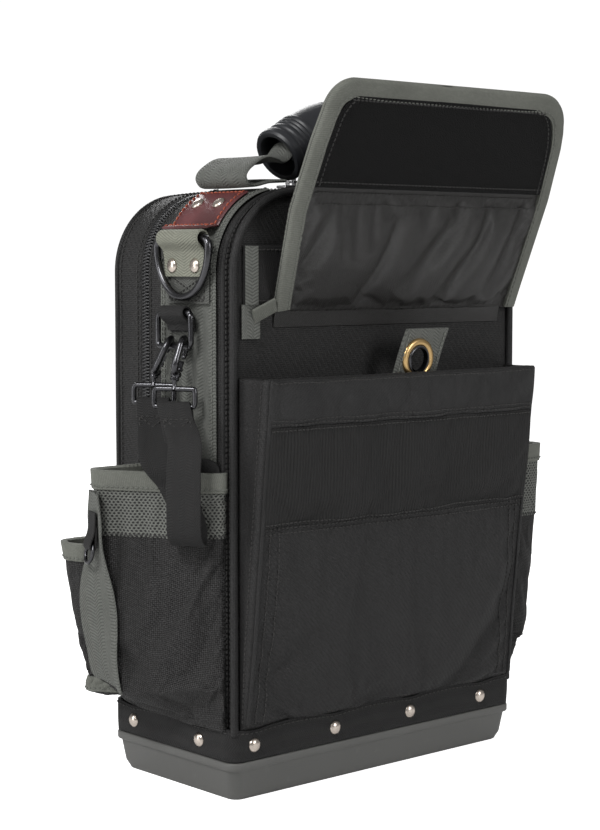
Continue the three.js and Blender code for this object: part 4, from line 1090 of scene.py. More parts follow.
def build_grommet_tab():
    """The slanted tab in the pocket's mouth, with its grommet."""
    lean = math.radians(5.9)
    origin = vec(0, -74.441, 222)
    place = lambda x, s, o: origin + np.stack(
        [x, -s * math.sin(lean) - o * math.cos(lean), s * math.cos(lean) - o * math.sin(lean)], -1
    )
    slant = math.tan(math.radians(17))
    centre = (26 * slant, 26.0)
    shift = 50 * slant
    outline = np.array([(-17, -2.6), (17, -2.6), (17 + shift, 44), (-17 + shift, 44)])
    ring = []
    for k in range(4):
        for t in np.linspace(0, 1, 24, endpoint=False):
            ring.append(outline[k] * (1 - t) + outline[(k + 1) % 4] * t)
    ring = np.array(ring)
    bear = np.arctan2(ring[:, 1] - centre[1], ring[:, 0] - centre[0])
    hole = np.stack([centre[0] + 8 * np.cos(bear), centre[1] + 8 * np.sin(bear)], 1)
    rows = np.array([hole * (1 - t) + ring * t for t in np.linspace(0, 1, 14)])
    wave = 0.35 * np.sin(rows[..., 1] / 7)
    front, back = place(rows[..., 0], rows[..., 1], 0.95 + wave), place(
        rows[..., 0], rows[..., 1], -0.95 + wave
    )
    uv = np.stack([rows[..., 1] - rows[..., 0] * 0.3, rows[..., 0]], -1)
    both = np.concatenate([front, back[::-1]])
    two = np.concatenate([uv, uv[::-1]])
    two = np.concatenate([two, two[:1]], 0)
    two = np.concatenate([two, two[:, :1]], 1)
    Soup().grid(both, wrap=True, ring=True, uv=two).build(
        "grommet_tab_webbing", MAT["grey_web"], "grommet_tab", ["grommet_tab"], "grey_webbing"
    )
    out = vec(0, -math.cos(lean), -math.sin(lean))
    mid = place(np.array(centre[0]), np.array(centre[1]), 0.35)
    brass = [
        (12.4, 0.9), (12.3, 1.35), (11.4, 2.0), (10.3, 2.25), (9.2, 2.0), (8.5, 1.5), (8.3, 0.9),
        (8.3, -1.4), (9.5, -2.2), (11.5, -2.1), (12.3, -1.3), (12.4, -0.9)
    ]
    Soup().turned(mid, out, brass + brass[:1], 48).build(
        "grommet_brass_ring", MAT["brass"], "grommet_tab", ["grommet_ring"], "brass", sharp=60
    )
    steel = [(8.5, 1.5), (8.2, 1.9), (7.4, 1.7), (6.9, 2.2), (6.8, -1.2), (7.4, -1.8), (8.2, -1.5)]
    Soup().turned(mid, out, steel + steel[:1], 48).build(
        "grommet_inner_ring", MAT["gunmetal"], "grommet_tab", (), "dark_metal", sharp=60
    )
    for side in (-1, 1):
        s = np.linspace(2, 42, 30)
        THREAD.row(("grommet_tab", "grey"), place(side * 14.6 + (s + 3) * slant * 1.06, s, 1.1), out, 3)


# ---- flap ------------------------------------------------------------------------------------------------
def flap_edges(s):
    """Left and right edges of the flap's cut at s up from the hinge: corners rounded at the free end."""
    left = np.interp(s, [0, 6, 60, 100, 118], [-91, -92, -98.6, -96.4, -94])
    right = np.interp(s, [0, 14, 71, 104, 118], [106, 106, 107, 104, 101])
    for_left = 17 * (1 - np.sqrt(np.clip(1 - ((s - 118) / 18.0).clip(0, 1) ** 2, 0, 1)))
    for_right = 24 * (1 - np.sqrt(np.clip(1 - ((s - 112) / 24.0).clip(0, 1) ** 2, 0, 1)))
    return left + for_left, right - for_right


def build_flap():
    """The pocket's lid: lining, outer cloth, hook panel, binding, tail and hinge cuff."""
    top = 136.0
    s = np.concatenate([np.linspace(0.5, 110, 76), 110 + 26 * np.sin(np.linspace(0, np.pi / 2, 30)[1:])])
    left, right = flap_edges(np.minimum(s, top - 0.02))
    t = np.linspace(0, 1, 110)
    t = t - 0.02 * np.sin(2 * np.pi * t)
    S = np.repeat(s[:, None], len(t), 1)
    X = left[:, None] + (right - left)[:, None] * t
    edge = np.minimum(np.minimum(X - left[:, None], right[:, None] - X), np.minimum(top - S, S + 4))
    inner = ease(edge / 14)
    out = 5.0 * np.exp(
        -(((X + 48) / 26) ** 2) - ((S - 38) / 20) ** 2
    ) + 2.6 * np.exp(-(((X - 40) / 26) ** 2) - ((S - 46) / 22) ** 2)
    out += crease(X, S, (4, 14), (34, 68), 8, 4.2) + crease(X, S, (38, 8), (62, 66), 8, 4.6) + crease(
        X, S, (74, 14), (90, 70), 7, 3.6
    )
    out += crease(
        X, S, (-86, 16), (-70, 64), 7, 3.0
    ) + crease(X, S, (-30, 12), (-16, 56), 8, 3.2) + crease(X, S, (-10, 62), (80, 69), 5, 1.6)
    out += 1.5 * ripple(np.stack([X, S * 0.6, X * 0], -1), 24, 9)
    out = out * inner * ease((74 - S) / 8) + 0.35 * ripple(np.stack([X, S, X * 0], -1), 60, 12)
    out += 1.6 * np.sin((X + 100) / 200 * np.pi) * ease((S - 60) / 70) * 0.6
    P = on_flap(X, S, out + 0.6)
    pin = 1 - ease(edge / 10) * 0.96
    pin = np.maximum(pin, ease((S - 68) / 4))
    P = relax(P, pin, grow=0.02, pressure=0.12, frames=14, cap=2.6, bending=0.5)
    front = P
    flap = Soup().sheet(front, 1.9).build(
        "flap_lining", MAT["lining"], slot="lining_fabric", blend=BLENDS[FOLD], nodes=["flap_lower"]
    )
    N = face_normals(front)
    Soup().sheet((front - N * 2.9)[:, ::-1], 0.9).build(
        "flap_outer_cloth", MAT["ballistic"], slot="black_fabric", blend=BLENDS[FOLD], nodes=["flap_upper"]
    )

    u_at = lambda v: np.interp(v, s, np.arange(len(s)))

    # hook panel
    u = np.linspace(u_at(75), u_at(127.5), 40)
    l, r = flap_edges(np.interp(u, np.arange(len(s)), s) + 8)
    lu, ru = np.interp(u, np.arange(len(s)), left), np.interp(u, np.arange(len(s)), right)
    v = np.linspace(0, 1, 90)
    want = (l + 9.5)[:, None] + ((r - 9.5) - (l + 9.5))[:, None] * v
    col = (want - lu[:, None]) / (ru - lu)[:, None] * (len(t) - 1)
    Q, M = at(front, np.repeat(u[:, None], 90, 1), np.clip(col, 0, len(t) - 1.01))
    Q = Q + M * 1.5
    Soup().sheet(Q, 1.3).build("hook_panel_pile", MAT["hook"], "flap_upper", ["flap_hook_panel"], "hook_tape")
    for inset in (2, -3):
        THREAD.row(("flap_upper", "black"), Q[inset] + M[inset] * 0.05, M[inset], 2.8)
    for inset in (2, -3):
        THREAD.row(("flap_upper", "black"), Q[:, inset] + M[:, inset] * 0.05, M[:, inset], 2.8)
    for height in (71.5, 65.0):
        A, B = at(front, np.full(160, u_at(height)), np.linspace(8, len(t) - 9, 160))
        THREAD.row(("flap_upper", "black"), A + B * 0.1, B, 2.9)

    # binding round the free edge: left side up, across the top, right side down
    loop = [on_flap(left[k], s[k]) for k in range(len(s))]
    ends = [on_flap(x, top) for x in np.linspace(left[-1], right[-1], 40)[1:-1]]
    line = np.concatenate([loop, ends, [on_flap(right[k], s[k]) for k in range(len(s) - 1, -1, -1)]])
    line = resample(line, 240)
    flap_n = vec(0, -math.cos(LEAN), -math.sin(LEAN))
    T = unit(np.gradient(line, axis=0))
    for _ in range(6):
        T = unit((T + np.roll(T, 1, 0) + np.roll(T, -1, 0)))
        T[0], T[-1] = T[1], T[-2]
    inward = unit(np.cross(T, flap_n))
    inward = inward * np.sign((inward * (on_flap(0, 60) - line)).sum(1, keepdims=True))
    widths = np.interp(np.arange(240), [0, 60, 90, 150, 180, 239], [9, 9.5, 12.5, 12.5, 9.5, 9.5])
    sec = [
        (1, 1.5), (0.98, 2.3), (0.55, 2.45), (0.1, 2.2), (0.0, 1.6), (-0.07, 0.1), (-0.07, -1.2),
        (0.0, -2.6), (0.1, -3.2), (0.6, -3.3), (0.98, -3.1), (1, -2.2)
    ]
    rows = np.array([line + inward * (widths * a)[:, None] + flap_n * b for a, b in sec])
    Soup().grid(rows.transpose(1, 0, 2), wrap=True, caps=True).build(
        "flap_binding", MAT["binding"], slot="binding", blend=BLENDS[FOLD]
    )
    THREAD.row((FOLD, "grey"), line + inward * (widths * 0.8)[:, None] + flap_n * 2.35, flap_n, 3.0)
    # the binding's cut tail at the lower left, over a small grey anchor tab on the panel
    q = np.linspace(0, 1, 14)
    C = on_flap(-93 - 14 * q, 4.5 - 7 * q, 1.0)
    band(C, unit(on_flap(0, 1.0) - on_flap(0.5, 0)), flap_n, 9, 1.6).build(
        "flap_binding_tail", MAT["binding"], "flap_lower", slot="binding"
    )
    C = np.stack([np.full(16, -101.5), np.full(16, -56.2), np.linspace(262, 281, 16)], 1)
    band(C, vec(1, 0, 0), vec(0, -1, 0), 13, 1.5).build(
        "flap_anchor_tab", MAT["grey_web"], slot="grey_webbing"
    )
    # the cloth hinge between the panel and the flap's foot
    x = np.linspace(-84, 100, 80)
    profile = [(-55.7, 268), (-56.4, 272.5), (-57.3, 276), (-58.6, 279.5), (-60.2, 283.5), (-61.8, 287.5)]
    P = np.array([np.stack([x, np.full(80, y) + 0.3 * np.sin(x / 9), np.full(80, z)], 1) for y, z in profile])
    Soup().sheet(P, 0.9).build(
        "flap_hinge_cuff", MAT["lining"], slot="lining_fabric",
        blend=("root", "flap_lower", (0.006, -0.0565, 0.271), (0.006, -0.0600, 0.284))
    )


# ---- straps, leather and rings on the sides --------------------------------------------------------------
DOME = [(0, -0.6), (3.6, -0.6), (4.1, 0.0), (4.15, 0.4), (3.7, 1.0), (2.9, 1.5), (1.6, 1.9), (0, 2.0)]


def over_shoulder(side, offset, bottom, end_x, count):
    """A line up the side and over the shoulder, from that height to that distance from the middle."""
    path, out = arch(offset, bottom, count, end_x)
    C = np.stack([side * path[:, 0], np.full(count, STRAP_Y), path[:, 1]], 1)
    N = np.stack([side * out[:, 0], out[:, 0] * 0, out[:, 1]], 1)
    return C, N


def x_box(body, C, N, across, half_w):
    """A box of stitches with its crossed diagonals on a band; C and N follow the band."""
    key = (body, "black")
    span = np.linspace(0, 1, 50) * (len(C) - 1)
    look = lambda G, q: np.stack([np.interp(q, np.arange(len(G)), G[:, k]) for k in range(3)], -1)
    mid, up = look(C, span), look(N, span)
    t = np.linspace(-1, 1, 50)[:, None]
    A = vec(*across)
    for line in (mid + A * half_w, mid - A * half_w, mid + A * half_w * t, mid - A * half_w * t):
        THREAD.row(key, line, up, 2.9)
    for k in (0, -1):
        THREAD.row(key, mid[k] + A * half_w * t, up[k], 2.9)


def side_strap(side, word):
    """Grey webbing up the side and over the shoulder."""
    C, N = over_shoulder(side, 1.35, 66.5, 74.5, 150)
    band(C, vec(0, 1, 0), N, SIDE_WEB, 1.9).build(
        f"side_strap_{word}_webbing", MAT["grey_web"], nodes=[f"side_strap_{word}"], slot="grey_webbing"
    )
    edge = SIDE_WEB / 2 - EDGE_SEAM
    for inset in (-edge, edge, edge - EDGE_SEAM):
        THREAD.row(("root", "grey"), C + [0, inset, 0] + N * 1.0, N, 3.0)


def leather_patch(side, word):
    """The riveted leather over the shoulder."""
    C, N = over_shoulder(side, 3.6, 324.2, 86.5, 60)
    band(C, vec(0, 1, 0), N, LEATHER_WEB, 1.6).build(
        f"leather_{word}", MAT["leather"], nodes=[f"leather_patch_{word}"], slot="leather"
    )
    edge = LEATHER_WEB / 2 - EDGE_SEAM
    for inset in (-edge, edge):
        THREAD.row(("root", "red"), C + [0, inset, 0] + N * 0.85, N, 3.3, 0.5)
    THREAD.row(
        ("root", "red"), C[-4] + [[0, t, 0] for t in np.linspace(-18, 18, 30)] + N[-4] * 0.85, N[-4], 3.3,
        0.5
    )
    THREAD.row(
        ("root", "red"), C[4] + [[0, t, 0] for t in np.linspace(-18, 18, 30)] + N[4] * 0.85, N[4], 3.3, 0.5
    )
    for k, dy in enumerate((-9, 10)):
        Soup().turned(C[38] + [0, dy, 0] + N[38] * 0.8, N[38], DOME, 28).build(
            f"leather_rivet_{word}_{k + 1}", MAT["nickel"], slot="rivet_metal", sharp=60
        )


def ring_tab(side, word):
    """Webbing up the side, over the ring's bar and down again inside the ring."""
    turn = [
        (RING_X + 4.1 * math.cos(a), RING_BAR + 4.1 * math.sin(a)) for a in np.linspace(math.pi, -0.9, 14)
    ]
    line = [(117.2, 281.4), (117.2, 300), (117.2, 312)] + turn + [
        (120.7, 311.5), (119.6, 307), (119.3, 302), (119.25, 296.5)
    ]
    line = spline(line, 110)
    C = np.stack([side * line[:, 0], np.full(110, -20.0), line[:, 1]], 1)
    T = unit(np.gradient(C, axis=0))
    N = unit(np.cross(vec(0, 1, 0) * side, T))
    band(C[:44], vec(0, 1, 0), N[:44], RING_WEB, 1.6).build(
        f"ring_tab_{word}_patch", MAT["patch_web"], slot="grey_webbing"
    )
    band(C[40:], vec(0, 1, 0), N[40:], RING_WEB - 0.6, 1.7).build(
        f"ring_tab_{word}_roll", MAT["olive_web"], nodes=[f"ring_tab_{word}"], slot="grey_webbing"
    )
    face = vec(side, 0, 0)
    flat = np.stack([np.full(40, side * 118.1), np.full(40, -20.0), np.linspace(283, 297, 40)], 1)
    x_box("root", flat, np.broadcast_to(face, flat.shape), (0, 1, 0), 15.5)
    for k, y in enumerate((-30, -9.5)):
        place = vec(side * 120.2, y, 302.6)
        Soup().turned(place, face, DOME, 28).build(
            f"ring_tab_rivet_{word}_{k + 1}", MAT["nickel"], slot="rivet_metal", sharp=60
        )


def d_ring(side, word):
    """The D-ring, in its tab's fold."""
    half, corner, drop = 23.25, 5.05, 33
    pts = [
        (-20 + half * math.cos(a), RING_BAR - corner - (drop - corner) * math.sin(a))
        for a in np.linspace(0, math.pi, 17)
    ]
    pts += [
        (-20 - half + corner + corner * math.cos(a), RING_BAR - corner + corner * math.sin(a))
        for a in np.linspace(math.pi, math.pi / 2, 6)[1:]
    ]
    pts += [
        (-20 + half - corner + corner * math.cos(a), RING_BAR - corner + corner * math.sin(a))
        for a in np.linspace(math.pi / 2, 0, 6)[:-1]
    ]
    pts = np.array(pts)
    wire = spline(
        np.stack([np.full(len(pts), side * RING_X), pts[:, 0], pts[:, 1]], 1), 120, closed=True
    )[:-1]
    tube(wire, 2.2, 16, closed=True).build(
        f"d_ring_{word}_wire", MAT["gunmetal"], f"d_ring_{word}", [f"d_ring_{word}"], "dark_metal", sharp=70
    )


def build_sides():
    """Webbing, leather, ring tabs and D-rings on both sides."""
    for side, word in ((-1, "left"), (1, "right")):
        side_strap(side, word)
        leather_patch(side, word)
        ring_tab(side, word)
        d_ring(side, word)


# ---- tape strap on its two snap hooks --------------------------------------------------------------------
SMALL_BOTTOM = 257.0
ACROSS = unit(vec(-0.57, 0.82, 0))
OUT = vec(-ACROSS[1], ACROSS[0], 0)


def turn_frame(tilt, lean, spin):
    """The turn of a hook: about X, then its own Y and Z, in degrees."""
    a, b, c = map(math.radians, (tilt, lean, spin))
    return np.array(Matrix.Rotation(a, 3, "X") @ Matrix.Rotation(b, 3, "Y") @ Matrix.Rotation(c, 3, "Z"))


def build_hook(word, y, tilt, lean):
    """A snap hook on the small ring, with its gate and eye; the middle of the eye's bar comes back."""
    R, o = turn_frame(tilt, lean, 38), vec(-SMALL_X, y, SMALL_BOTTOM)
    put = lambda pts: o + np.asarray(pts, float) @ R.T
    loop, sag, spine = 6.6, 1.7, 16
    a = np.linspace(-0.15 * math.pi, math.pi, 14)
    pts = [(loop * math.cos(t), 0, loop * math.sin(t) - sag) for t in a]
    pts += [(-loop, 0, -spine + 4.5), (-loop * 0.62, 0, -spine + 1), (0, 0, -spine)]
    line = spline(put(pts), 60)
    fat = np.interp(np.arange(60), [0, 6, 40, 59], [1.35, 1.8, 1.95, 2.3])
    soup = tube(line, fat, 14)
    collar = [
        (0, -4.1), (1.7, -4.0), (2.6, -3.7), (2.75, -3), (2.35, -2.6), (2.4, -1.9), (3.0, -1.4), (3.1, 0.4),
        (2.7, 1.1), (1.2, 1.3), (0, 1.35)
    ]
    soup.turned(put([(0, 0, -spine)])[0], R @ vec(0, 0, 1), collar, 28)
    soup.build(
        f"snap_hook_{word}", MAT["gunmetal"], "tape_loop", [f"hook_body_{word}"], "dark_metal", sharp=55
    )
    tip = vec(loop * 0.86, 0, -(sag + loop * 0.47 + 2.4))
    foot = vec(3.1, 0, -spine + 2.9)
    q = np.linspace(0, 1, 12)[:, None]
    C = put(foot + (tip - foot) * q)
    gate = band(
        C, R @ vec(0, 1, 0), unit(np.cross(R @ vec(0, 1, 0), C[-1] - C[0])),
        np.interp(np.arange(12), [0, 11], [3.3, 2.4]), 1.7
    )
    gate.turned(
        put([foot + vec(0.4, -2.0, 0.8)])[0], R @ vec(0, 1, 0),
        [(0, 0), (1.0, 0), (1.15, 0.3), (1.15, 3.7), (1.0, 4), (0, 4)], 20
    )
    gate.build(
        f"snap_gate_{word}", MAT["gunmetal"], f"gate_{word}", [f"hook_gate_{word}"], "dark_metal", sharp=50
    )
    joint = put([(0, 0, -spine - 3.6)])[0]
    # the eye, its stem and its ball
    halfw, halfh, stem = 12.0, 5.0, 5.0
    mid = stem + halfh
    outline = rounded(halfw, halfh, 2.5, 5)
    wire = joint + outline[:, :1] * ACROSS - (mid + outline[:, 1:]) * vec(0, 0, 1)
    eye = tube(spline(wire[::2], 90, closed=True)[:-1], 1.5, 14, closed=True)
    eye.turned(
        joint, (0, 0, -1),
        [
            (0, -1.9), (1.3, -1.4), (1.85, -0.3), (1.7, 0.7), (1.25, 1.4), (1.2, 3.6), (1.9, 4.4),
            (2.1, 5.2), (1.2, 6.0), (0, 6.1)
        ],
        24
    )
    eye.build(f"snap_eye_{word}", MAT["gunmetal"], "tape_loop", [f"hook_eye_{word}"], "dark_metal", sharp=55)
    return joint - vec(0, 0, mid + halfh)


def build_tape_strap():
    """The small ring on its tab, two snap hooks and the strap that hangs on them."""
    turn = [(SMALL_X + 3.0 * math.cos(a), 276.5 + 3.0 * math.sin(a)) for a in np.linspace(math.pi, -1.0, 12)]
    line = spline(
        [(117.1, 265.2), (117.1, 271)] + [(118.3, 274.5)] + turn + [
            (122.2, 271.6), (119.8, 269.6), (118.9, 266.2)
        ],
        90
    )
    C = np.stack([-line[:, 0], np.full(90, -15.0), line[:, 1]], 1)
    N = unit(np.cross(vec(0, -1, 0), unit(np.gradient(C, axis=0))))
    band(C, vec(0, 1, 0), N, SMALL_WEB, 1.4).build(
        "small_ring_tab_webbing", MAT["black_web"], nodes=["small_ring_tab"], slot="black_webbing"
    )
    ring = rounded(15, 9.75, 4, 6)
    wire = np.stack([np.full(len(ring), -SMALL_X), -15 + ring[:, 0], 276.5 - 9.75 + ring[:, 1]], 1)
    tube(spline(wire[::2], 110, closed=True)[:-1], 1.7, 14, closed=True).build(
        "small_ring_wire", MAT["gunmetal"], "small_ring", ["small_d_ring"], "dark_metal", sharp=70
    )
    front = build_hook("front", -23, -4, 22)
    rear = build_hook("rear", -8.5, 26, 10)
    rest = vec(-BX - 14.4, -32.6, 0)
    route = [
        (13, -2, 51), (18, -3, 69), (21.5, -4, 89), (20.5, -4, 102), (12.5, -4, 109), (5, -3, 106.5),
        (3.4, -1, 95), (3.6, 6, 79), (5, 17, 63)
    ]
    pts = [front - vec(0, 0, 2.9)] + [
        rest + OUT * a + ACROSS * b + vec(0, 0, SMALL_BOTTOM - d) for a, b, d in route
    ] + [rear - vec(0, 0, 2.9)]
    line = spline(pts, 190)
    T = unit(np.gradient(line, axis=0))
    N = unit(np.cross(ACROSS, T))
    q = np.linspace(0, 1, 190)
    cup = 0.5 * np.sin(q * 9) * np.sin(q * np.pi)
    strap = band(line, ACROSS, N, TAPE_WEB, 1.45, cup=cup)
    for bar, k in ((front, 0), (rear, -1)):
        away = unit(line[6 if k == 0 else -7] - bar)
        side = unit(np.cross(ACROSS, away))
        wrap = [bar + 2.45 * (side * math.cos(a) - away * math.sin(a)) for a in np.linspace(0, math.pi, 11)]
        run = [bar + side * 2.4 + away * 5, bar + side * 1.75 + away * 12, bar + side * 1.6 + away * 25][::-1]
        back = [bar - side * 2.3 + away * 2.5, bar - side * 1.0 + away * 6.5]
        loop = spline(run + wrap + back, 60)
        n = unit(np.cross(ACROSS, unit(np.gradient(loop, axis=0))))
        band(loop, ACROSS, n, TAPE_WEB - 0.2, 1.3, soup=strap)
        flat = np.array([bar + side * 2.45 + away * d for d in np.linspace(10, 23, 40)])
        x_box("tape_loop", flat, np.broadcast_to(side, flat.shape), ACROSS, 7.6)
    strap.build("tape_strap_webbing", MAT["black_web"], "tape_loop", ["tape_strap"], "black_webbing")


# ---- handle ----------------------------------------------------------------------------------------------
def build_handle():
    """The ridged grip and the webbing that is folded beside it and runs through it."""
    x = np.linspace(-48, 48, 193)
    line = np.stack([x, np.full(193, STRAP_Y), 366 + 19 * np.cos(x / 48 * math.pi / 2)], 1)
    a = np.abs(x)
    r = 15.3 + 0.9 * np.cos(x / 48 * math.pi / 2)
    r += 1.5 * ease((a - 42.5) / 1.2) - 1.0 * ease((a - 46.6) / 1.4)
    for groove in (33.0, 35.4, 37.8):
        r -= 0.85 * np.exp(-(((a - groove) / 0.62) ** 2))
    r += 0.7 * ease((a - 29.8) / 0.8) * ease((41.0 - a) / 0.8)
    r -= 0.55 * np.exp(-(((a - 12) / 0.7) ** 2))
    soup = Soup()
    T = unit(np.gradient(line, axis=0))
    B = unit(np.cross(T, vec(0, 1, 0)))
    w = np.linspace(0, 2 * np.pi, 40, endpoint=False)
    wheel = lambda c, b, radius: c + radius * (np.cos(w)[:, None] * vec(0, 1, 0) + np.sin(w)[:, None] * b)
    rows = [wheel(line[k], B[k], r[k]) for k in range(193)]
    inside = lambda k, direction: [
        wheel(line[k] + T[k] * direction * d, B[k], q)
        for d, q in ((0, 14.2), (0.4, 13.0), (1.5, 12.6), (14, 12.4), (14.2, 0.01))
    ]
    rows = inside(0, 1)[::-1] + rows + inside(192, -1)
    soup.grid(rows, wrap=True).build(
        "grip", MAT["rubber"], "handle", ["handle_grip"], "grip_rubber", sharp=50
    )
    path, _ = arch(2.3 + 1.2 + 0.7, 100, 600, 73)
    foot_x, foot_z = path[-1]
    for side, word in ((-1, "left"), (1, "right")):
        pts = [
            (foot_x - 13, foot_z + 2.4), (foot_x - 2, foot_z + 1.6), (foot_x + 8, foot_z - 0.4),
            (foot_x + 14, foot_z - 0.2), (foot_x + 17, foot_z + 4.5), (foot_x + 12.5, foot_z + 10)
        ]
        pts += [(foot_x + 1, foot_z + 15.5), (60.5, 362.0), (49.5, 363.2), (42, 370.5)]
        line = spline(pts, 120)
        C = np.stack([side * line[:, 0], np.full(120, STRAP_Y), line[:, 1]], 1)
        T = unit(np.gradient(C, axis=0))
        N = unit(np.cross(T, vec(0, 1, 0))) * side
        q = np.linspace(0, 1, 120)
        width = GRIP_WEB - 24.5 * ease((q - 0.66) / 0.24)
        cup = -4.6 * ease((q - 0.66) / 0.26) + 0.8 * np.sin(q * 14) * (1 - q)
        band(C, vec(0, 1, 0), N, width, 2.0, cup=cup).build(
            f"handle_webbing_{word}_band", MAT["grey_web"], slot="grey_webbing",
            nodes=[f"handle_webbing_{word}"],
            blend=("root", "handle", (side * 0.074, -0.017, 0.358), (side * 0.052, -0.017, 0.364))
        )


# ---- zipped cover ----------------------------------------------------------------------------------------
def build_cover():
    """The padded rear cover with its wall, piping and foot."""
    low = COVER_LOW
    P = wall_strip(
        lambda y: -1.3 * (1 - ease((y - COVER_FRONT) / 2.5)) - 2.2 * ease((y - 50.5) / 3.2), COVER_FRONT,
        53.4, low, 240, 26, 6, 0.35, [(50.2, 1.2, 0.8)]
    )
    Soup().sheet(P, 2.6).build("cover_wall", MAT["canvas"], "cover", slot="black_fabric")
    P = arched_panel(-2.6, low, BY - 0.1, 2.0, 7, 120, 100, 9.0, 0.5)
    Soup().sheet(P, 2.8).build("cover_back", MAT["canvas"], "cover", ["back_cover"], "black_fabric")
    arched_bead(53.6, -1.6, 1.9, low, "cover_piping", MAT["piping"], "cover")
    for y, off in ((32.2, 0.0), (48.2, 0.0)):
        path, n = arch(off, low + 2, 260)
        N = np.stack([n[:, 0], n[:, 0] * 0, n[:, 1]], 1)
        THREAD.row(("cover", "black"), np.stack([path[:, 0], np.full(260, y), path[:, 1]], 1), N, 3.0)
    # the cover's foot
    x = np.linspace(-BX + 2, BX - 2, 40)
    rows = np.array(
        [
            np.stack([x, np.full(40, y), np.full(40, z)], 1)
            for y, z in (
                (COVER_FRONT + 0.3, low + 1.4), (40, low + 1.2), (50, low + 1.2), (53, low + 1.8),
                (54, low + 4)
            )
        ]
    )
    Soup().sheet(rows[:, ::-1], 1.2).build("cover_foot", MAT["canvas"], "cover", slot="black_fabric")


SEAM = 25.55


def build_zipper():
    """A tape and a row of coil teeth on each side of the seam."""
    for body, y0, y1, node, name, sign in (
        ("root", 23.0, 25.0, "zipper_chain_bag", "bag", -1),
        ("cover", 26.1, 28.1, "zipper_chain_cover", "cover", 1)
    ):
        path, n = arch(-1.5, 49, 420)
        y = np.linspace(y0 - (1.4 if sign < 0 else 0), y1 + (1.4 if sign > 0 else 0), 5)
        tape = np.stack(
            [np.repeat(path[:, :1], 5, 1), np.broadcast_to(y, (420, 5)), np.repeat(path[:, 1:], 5, 1)], -1
        )
        Soup().sheet(tape, 0.8).build(f"zipper_tape_{name}", MAT["satin"], body, [node], "zipper_coil")
        path, n = arch(-0.75, 50, 900)
        run = np.concatenate([[0], np.cumsum(np.linalg.norm(np.diff(path, axis=0), axis=1))])
        soup = Soup()
        pitch = 1.9
        for s in np.arange(1 + (0 if sign < 0 else pitch / 2), run[-1], pitch):
            c = vec(np.interp(s, run, path[:, 0]), SEAM, np.interp(s, run, path[:, 1]))
            o = unit(vec(np.interp(s, run, n[:, 0]), 0, np.interp(s, run, n[:, 1])))
            t = vec(-o[2], 0, o[0])
            line = np.array(
                [
                    c + vec(0, sign * y, 0) + t * skew + o * rise
                    for y, skew, rise in (
                        (-0.9, 0, -0.1), (0.2, 0.05, 0.25), (1.6, 0.3, 0.4), (2.9, 0.5, 0.15),
                        (3.5, 0.6, -0.4)
                    )
                ]
            )
            tube(line, [0.55, 0.68, 0.62, 0.6, 0.5], 6, soup=soup)
        soup.build(f"zipper_coil_{name}", MAT["coil"], body, slot="zipper_coil", sharp=60)


def cast(name, boxes, body, node):
    """A casting of bevelled blocks, each given as its spans in x, y and z."""
    mesh = bpy.data.meshes.new(name)
    work = bmesh.new()
    for x, y, z in boxes:
        made = bmesh.ops.create_cube(work, size=1)["verts"]
        for v in made:
            v.co = Vector([(a + b) / 2000 + c * (b - a) / 1000 for (a, b), c in zip((x, y, z), v.co)])
    bmesh.ops.bevel(work, geom=work.edges[:], offset=0.00038, segments=3, affect="EDGES", profile=0.6)
    work.to_mesh(mesh)
    work.free()
    mesh.polygons.foreach_set("use_smooth", [True] * len(mesh.polygons))
    mesh.uv_layers.new(name="weave")
    mesh.materials.append(MAT["steel"])
    piece = bpy.data.objects.new(name, mesh)
    bpy.context.scene.collection.objects.link(piece)
    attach(piece, body)
    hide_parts(node)


def build_slider():
    """The zipper's slider and its forked pull."""
    post = (SEAM - 1.6, SEAM + 1.6)
    cast(
        "slider_body",
        [
            ((-8, 8), (SEAM - 4.4, SEAM + 4.4), (350.0, 351.9)), ((-3.2, -2.1), post, (351, 356.6)),
            ((2.1, 3.2), post, (351, 356.6)), ((-3.2, 3.2), post, (355.5, 356.7))
        ],
        "slider", "zipper_slider"
    )
    z = (353.3, 354.7)
    cast(
        "slider_pull",
        [
            ((-0.7, 0.7), (SEAM - 3.6, SEAM + 3.6), z), ((-0.7, 9), (SEAM - 3.6, SEAM - 2.2), z),
            ((-0.7, 9), (SEAM + 2.2, SEAM + 3.6), z), ((8, 30), (SEAM - 3.7, SEAM + 3.7), z)
        ],
        "pull", "zipper_pull"
    )


# ---- pockets on the outside ------------------------------------------------------------------------------
def fullness(z, bottom, top, low):
    """How full a pocket is at height z: it grows fast to its knee, where it is low, then slowly to 1."""
    knee = bottom + (top - bottom) * 0.16
    return np.where(
        z <= knee, low * (z - bottom) / (knee - bottom), low + (1 - low) * (z - knee) / (top - knee)
    )


def side_outline(z, reach, front_reach, low, top=187, bottom=41, front=-49, rear=21.5):
    """A side pocket's outline at height z, from the front seam round to the rear one."""
    fill = float(fullness(min(z, top), bottom, top, low))
    fill = fill * float(ease((z - bottom + 3) / 9))
    far = BX + 5 + (reach - 5) * fill
    near = BX + min(5, front_reach) + (front_reach - 3) * fill
    return [
        (BX - 0.5, front + 0.2), (near - 1, front + (2.5 if front_reach > 10 else 1)),
        (near + (far - near) * 0.5, front + (rear - front) * 0.42), (far - 1, rear - 13),
        (far - 0.3, rear - 6), (far - 3.5, rear - 0.8), (far - 10, rear), (BX - 0.2, rear)
    ]


def corner_outline(z, top=140, bottom=48.5):
    """A corner pocket's outline at height z, from the side seam round to the back."""
    fill = 0.55 + 0.45 * (min(z, top) - bottom) / (top - bottom)
    rx, ry = BX + 37 * fill, BY + 13 * fill
    return [
        (BX - 0.2, 33), (BX + 8 * fill, 33.4), (rx - 6, BY - 14), (rx - 0.5, BY - 3), (rx - 1.5, BY + 4),
        (rx - 9, ry - 0.5), (BX + 2, ry - 0.4), (BX - 9, ry - 4), (BX - 10, BY + 0.3)
    ]


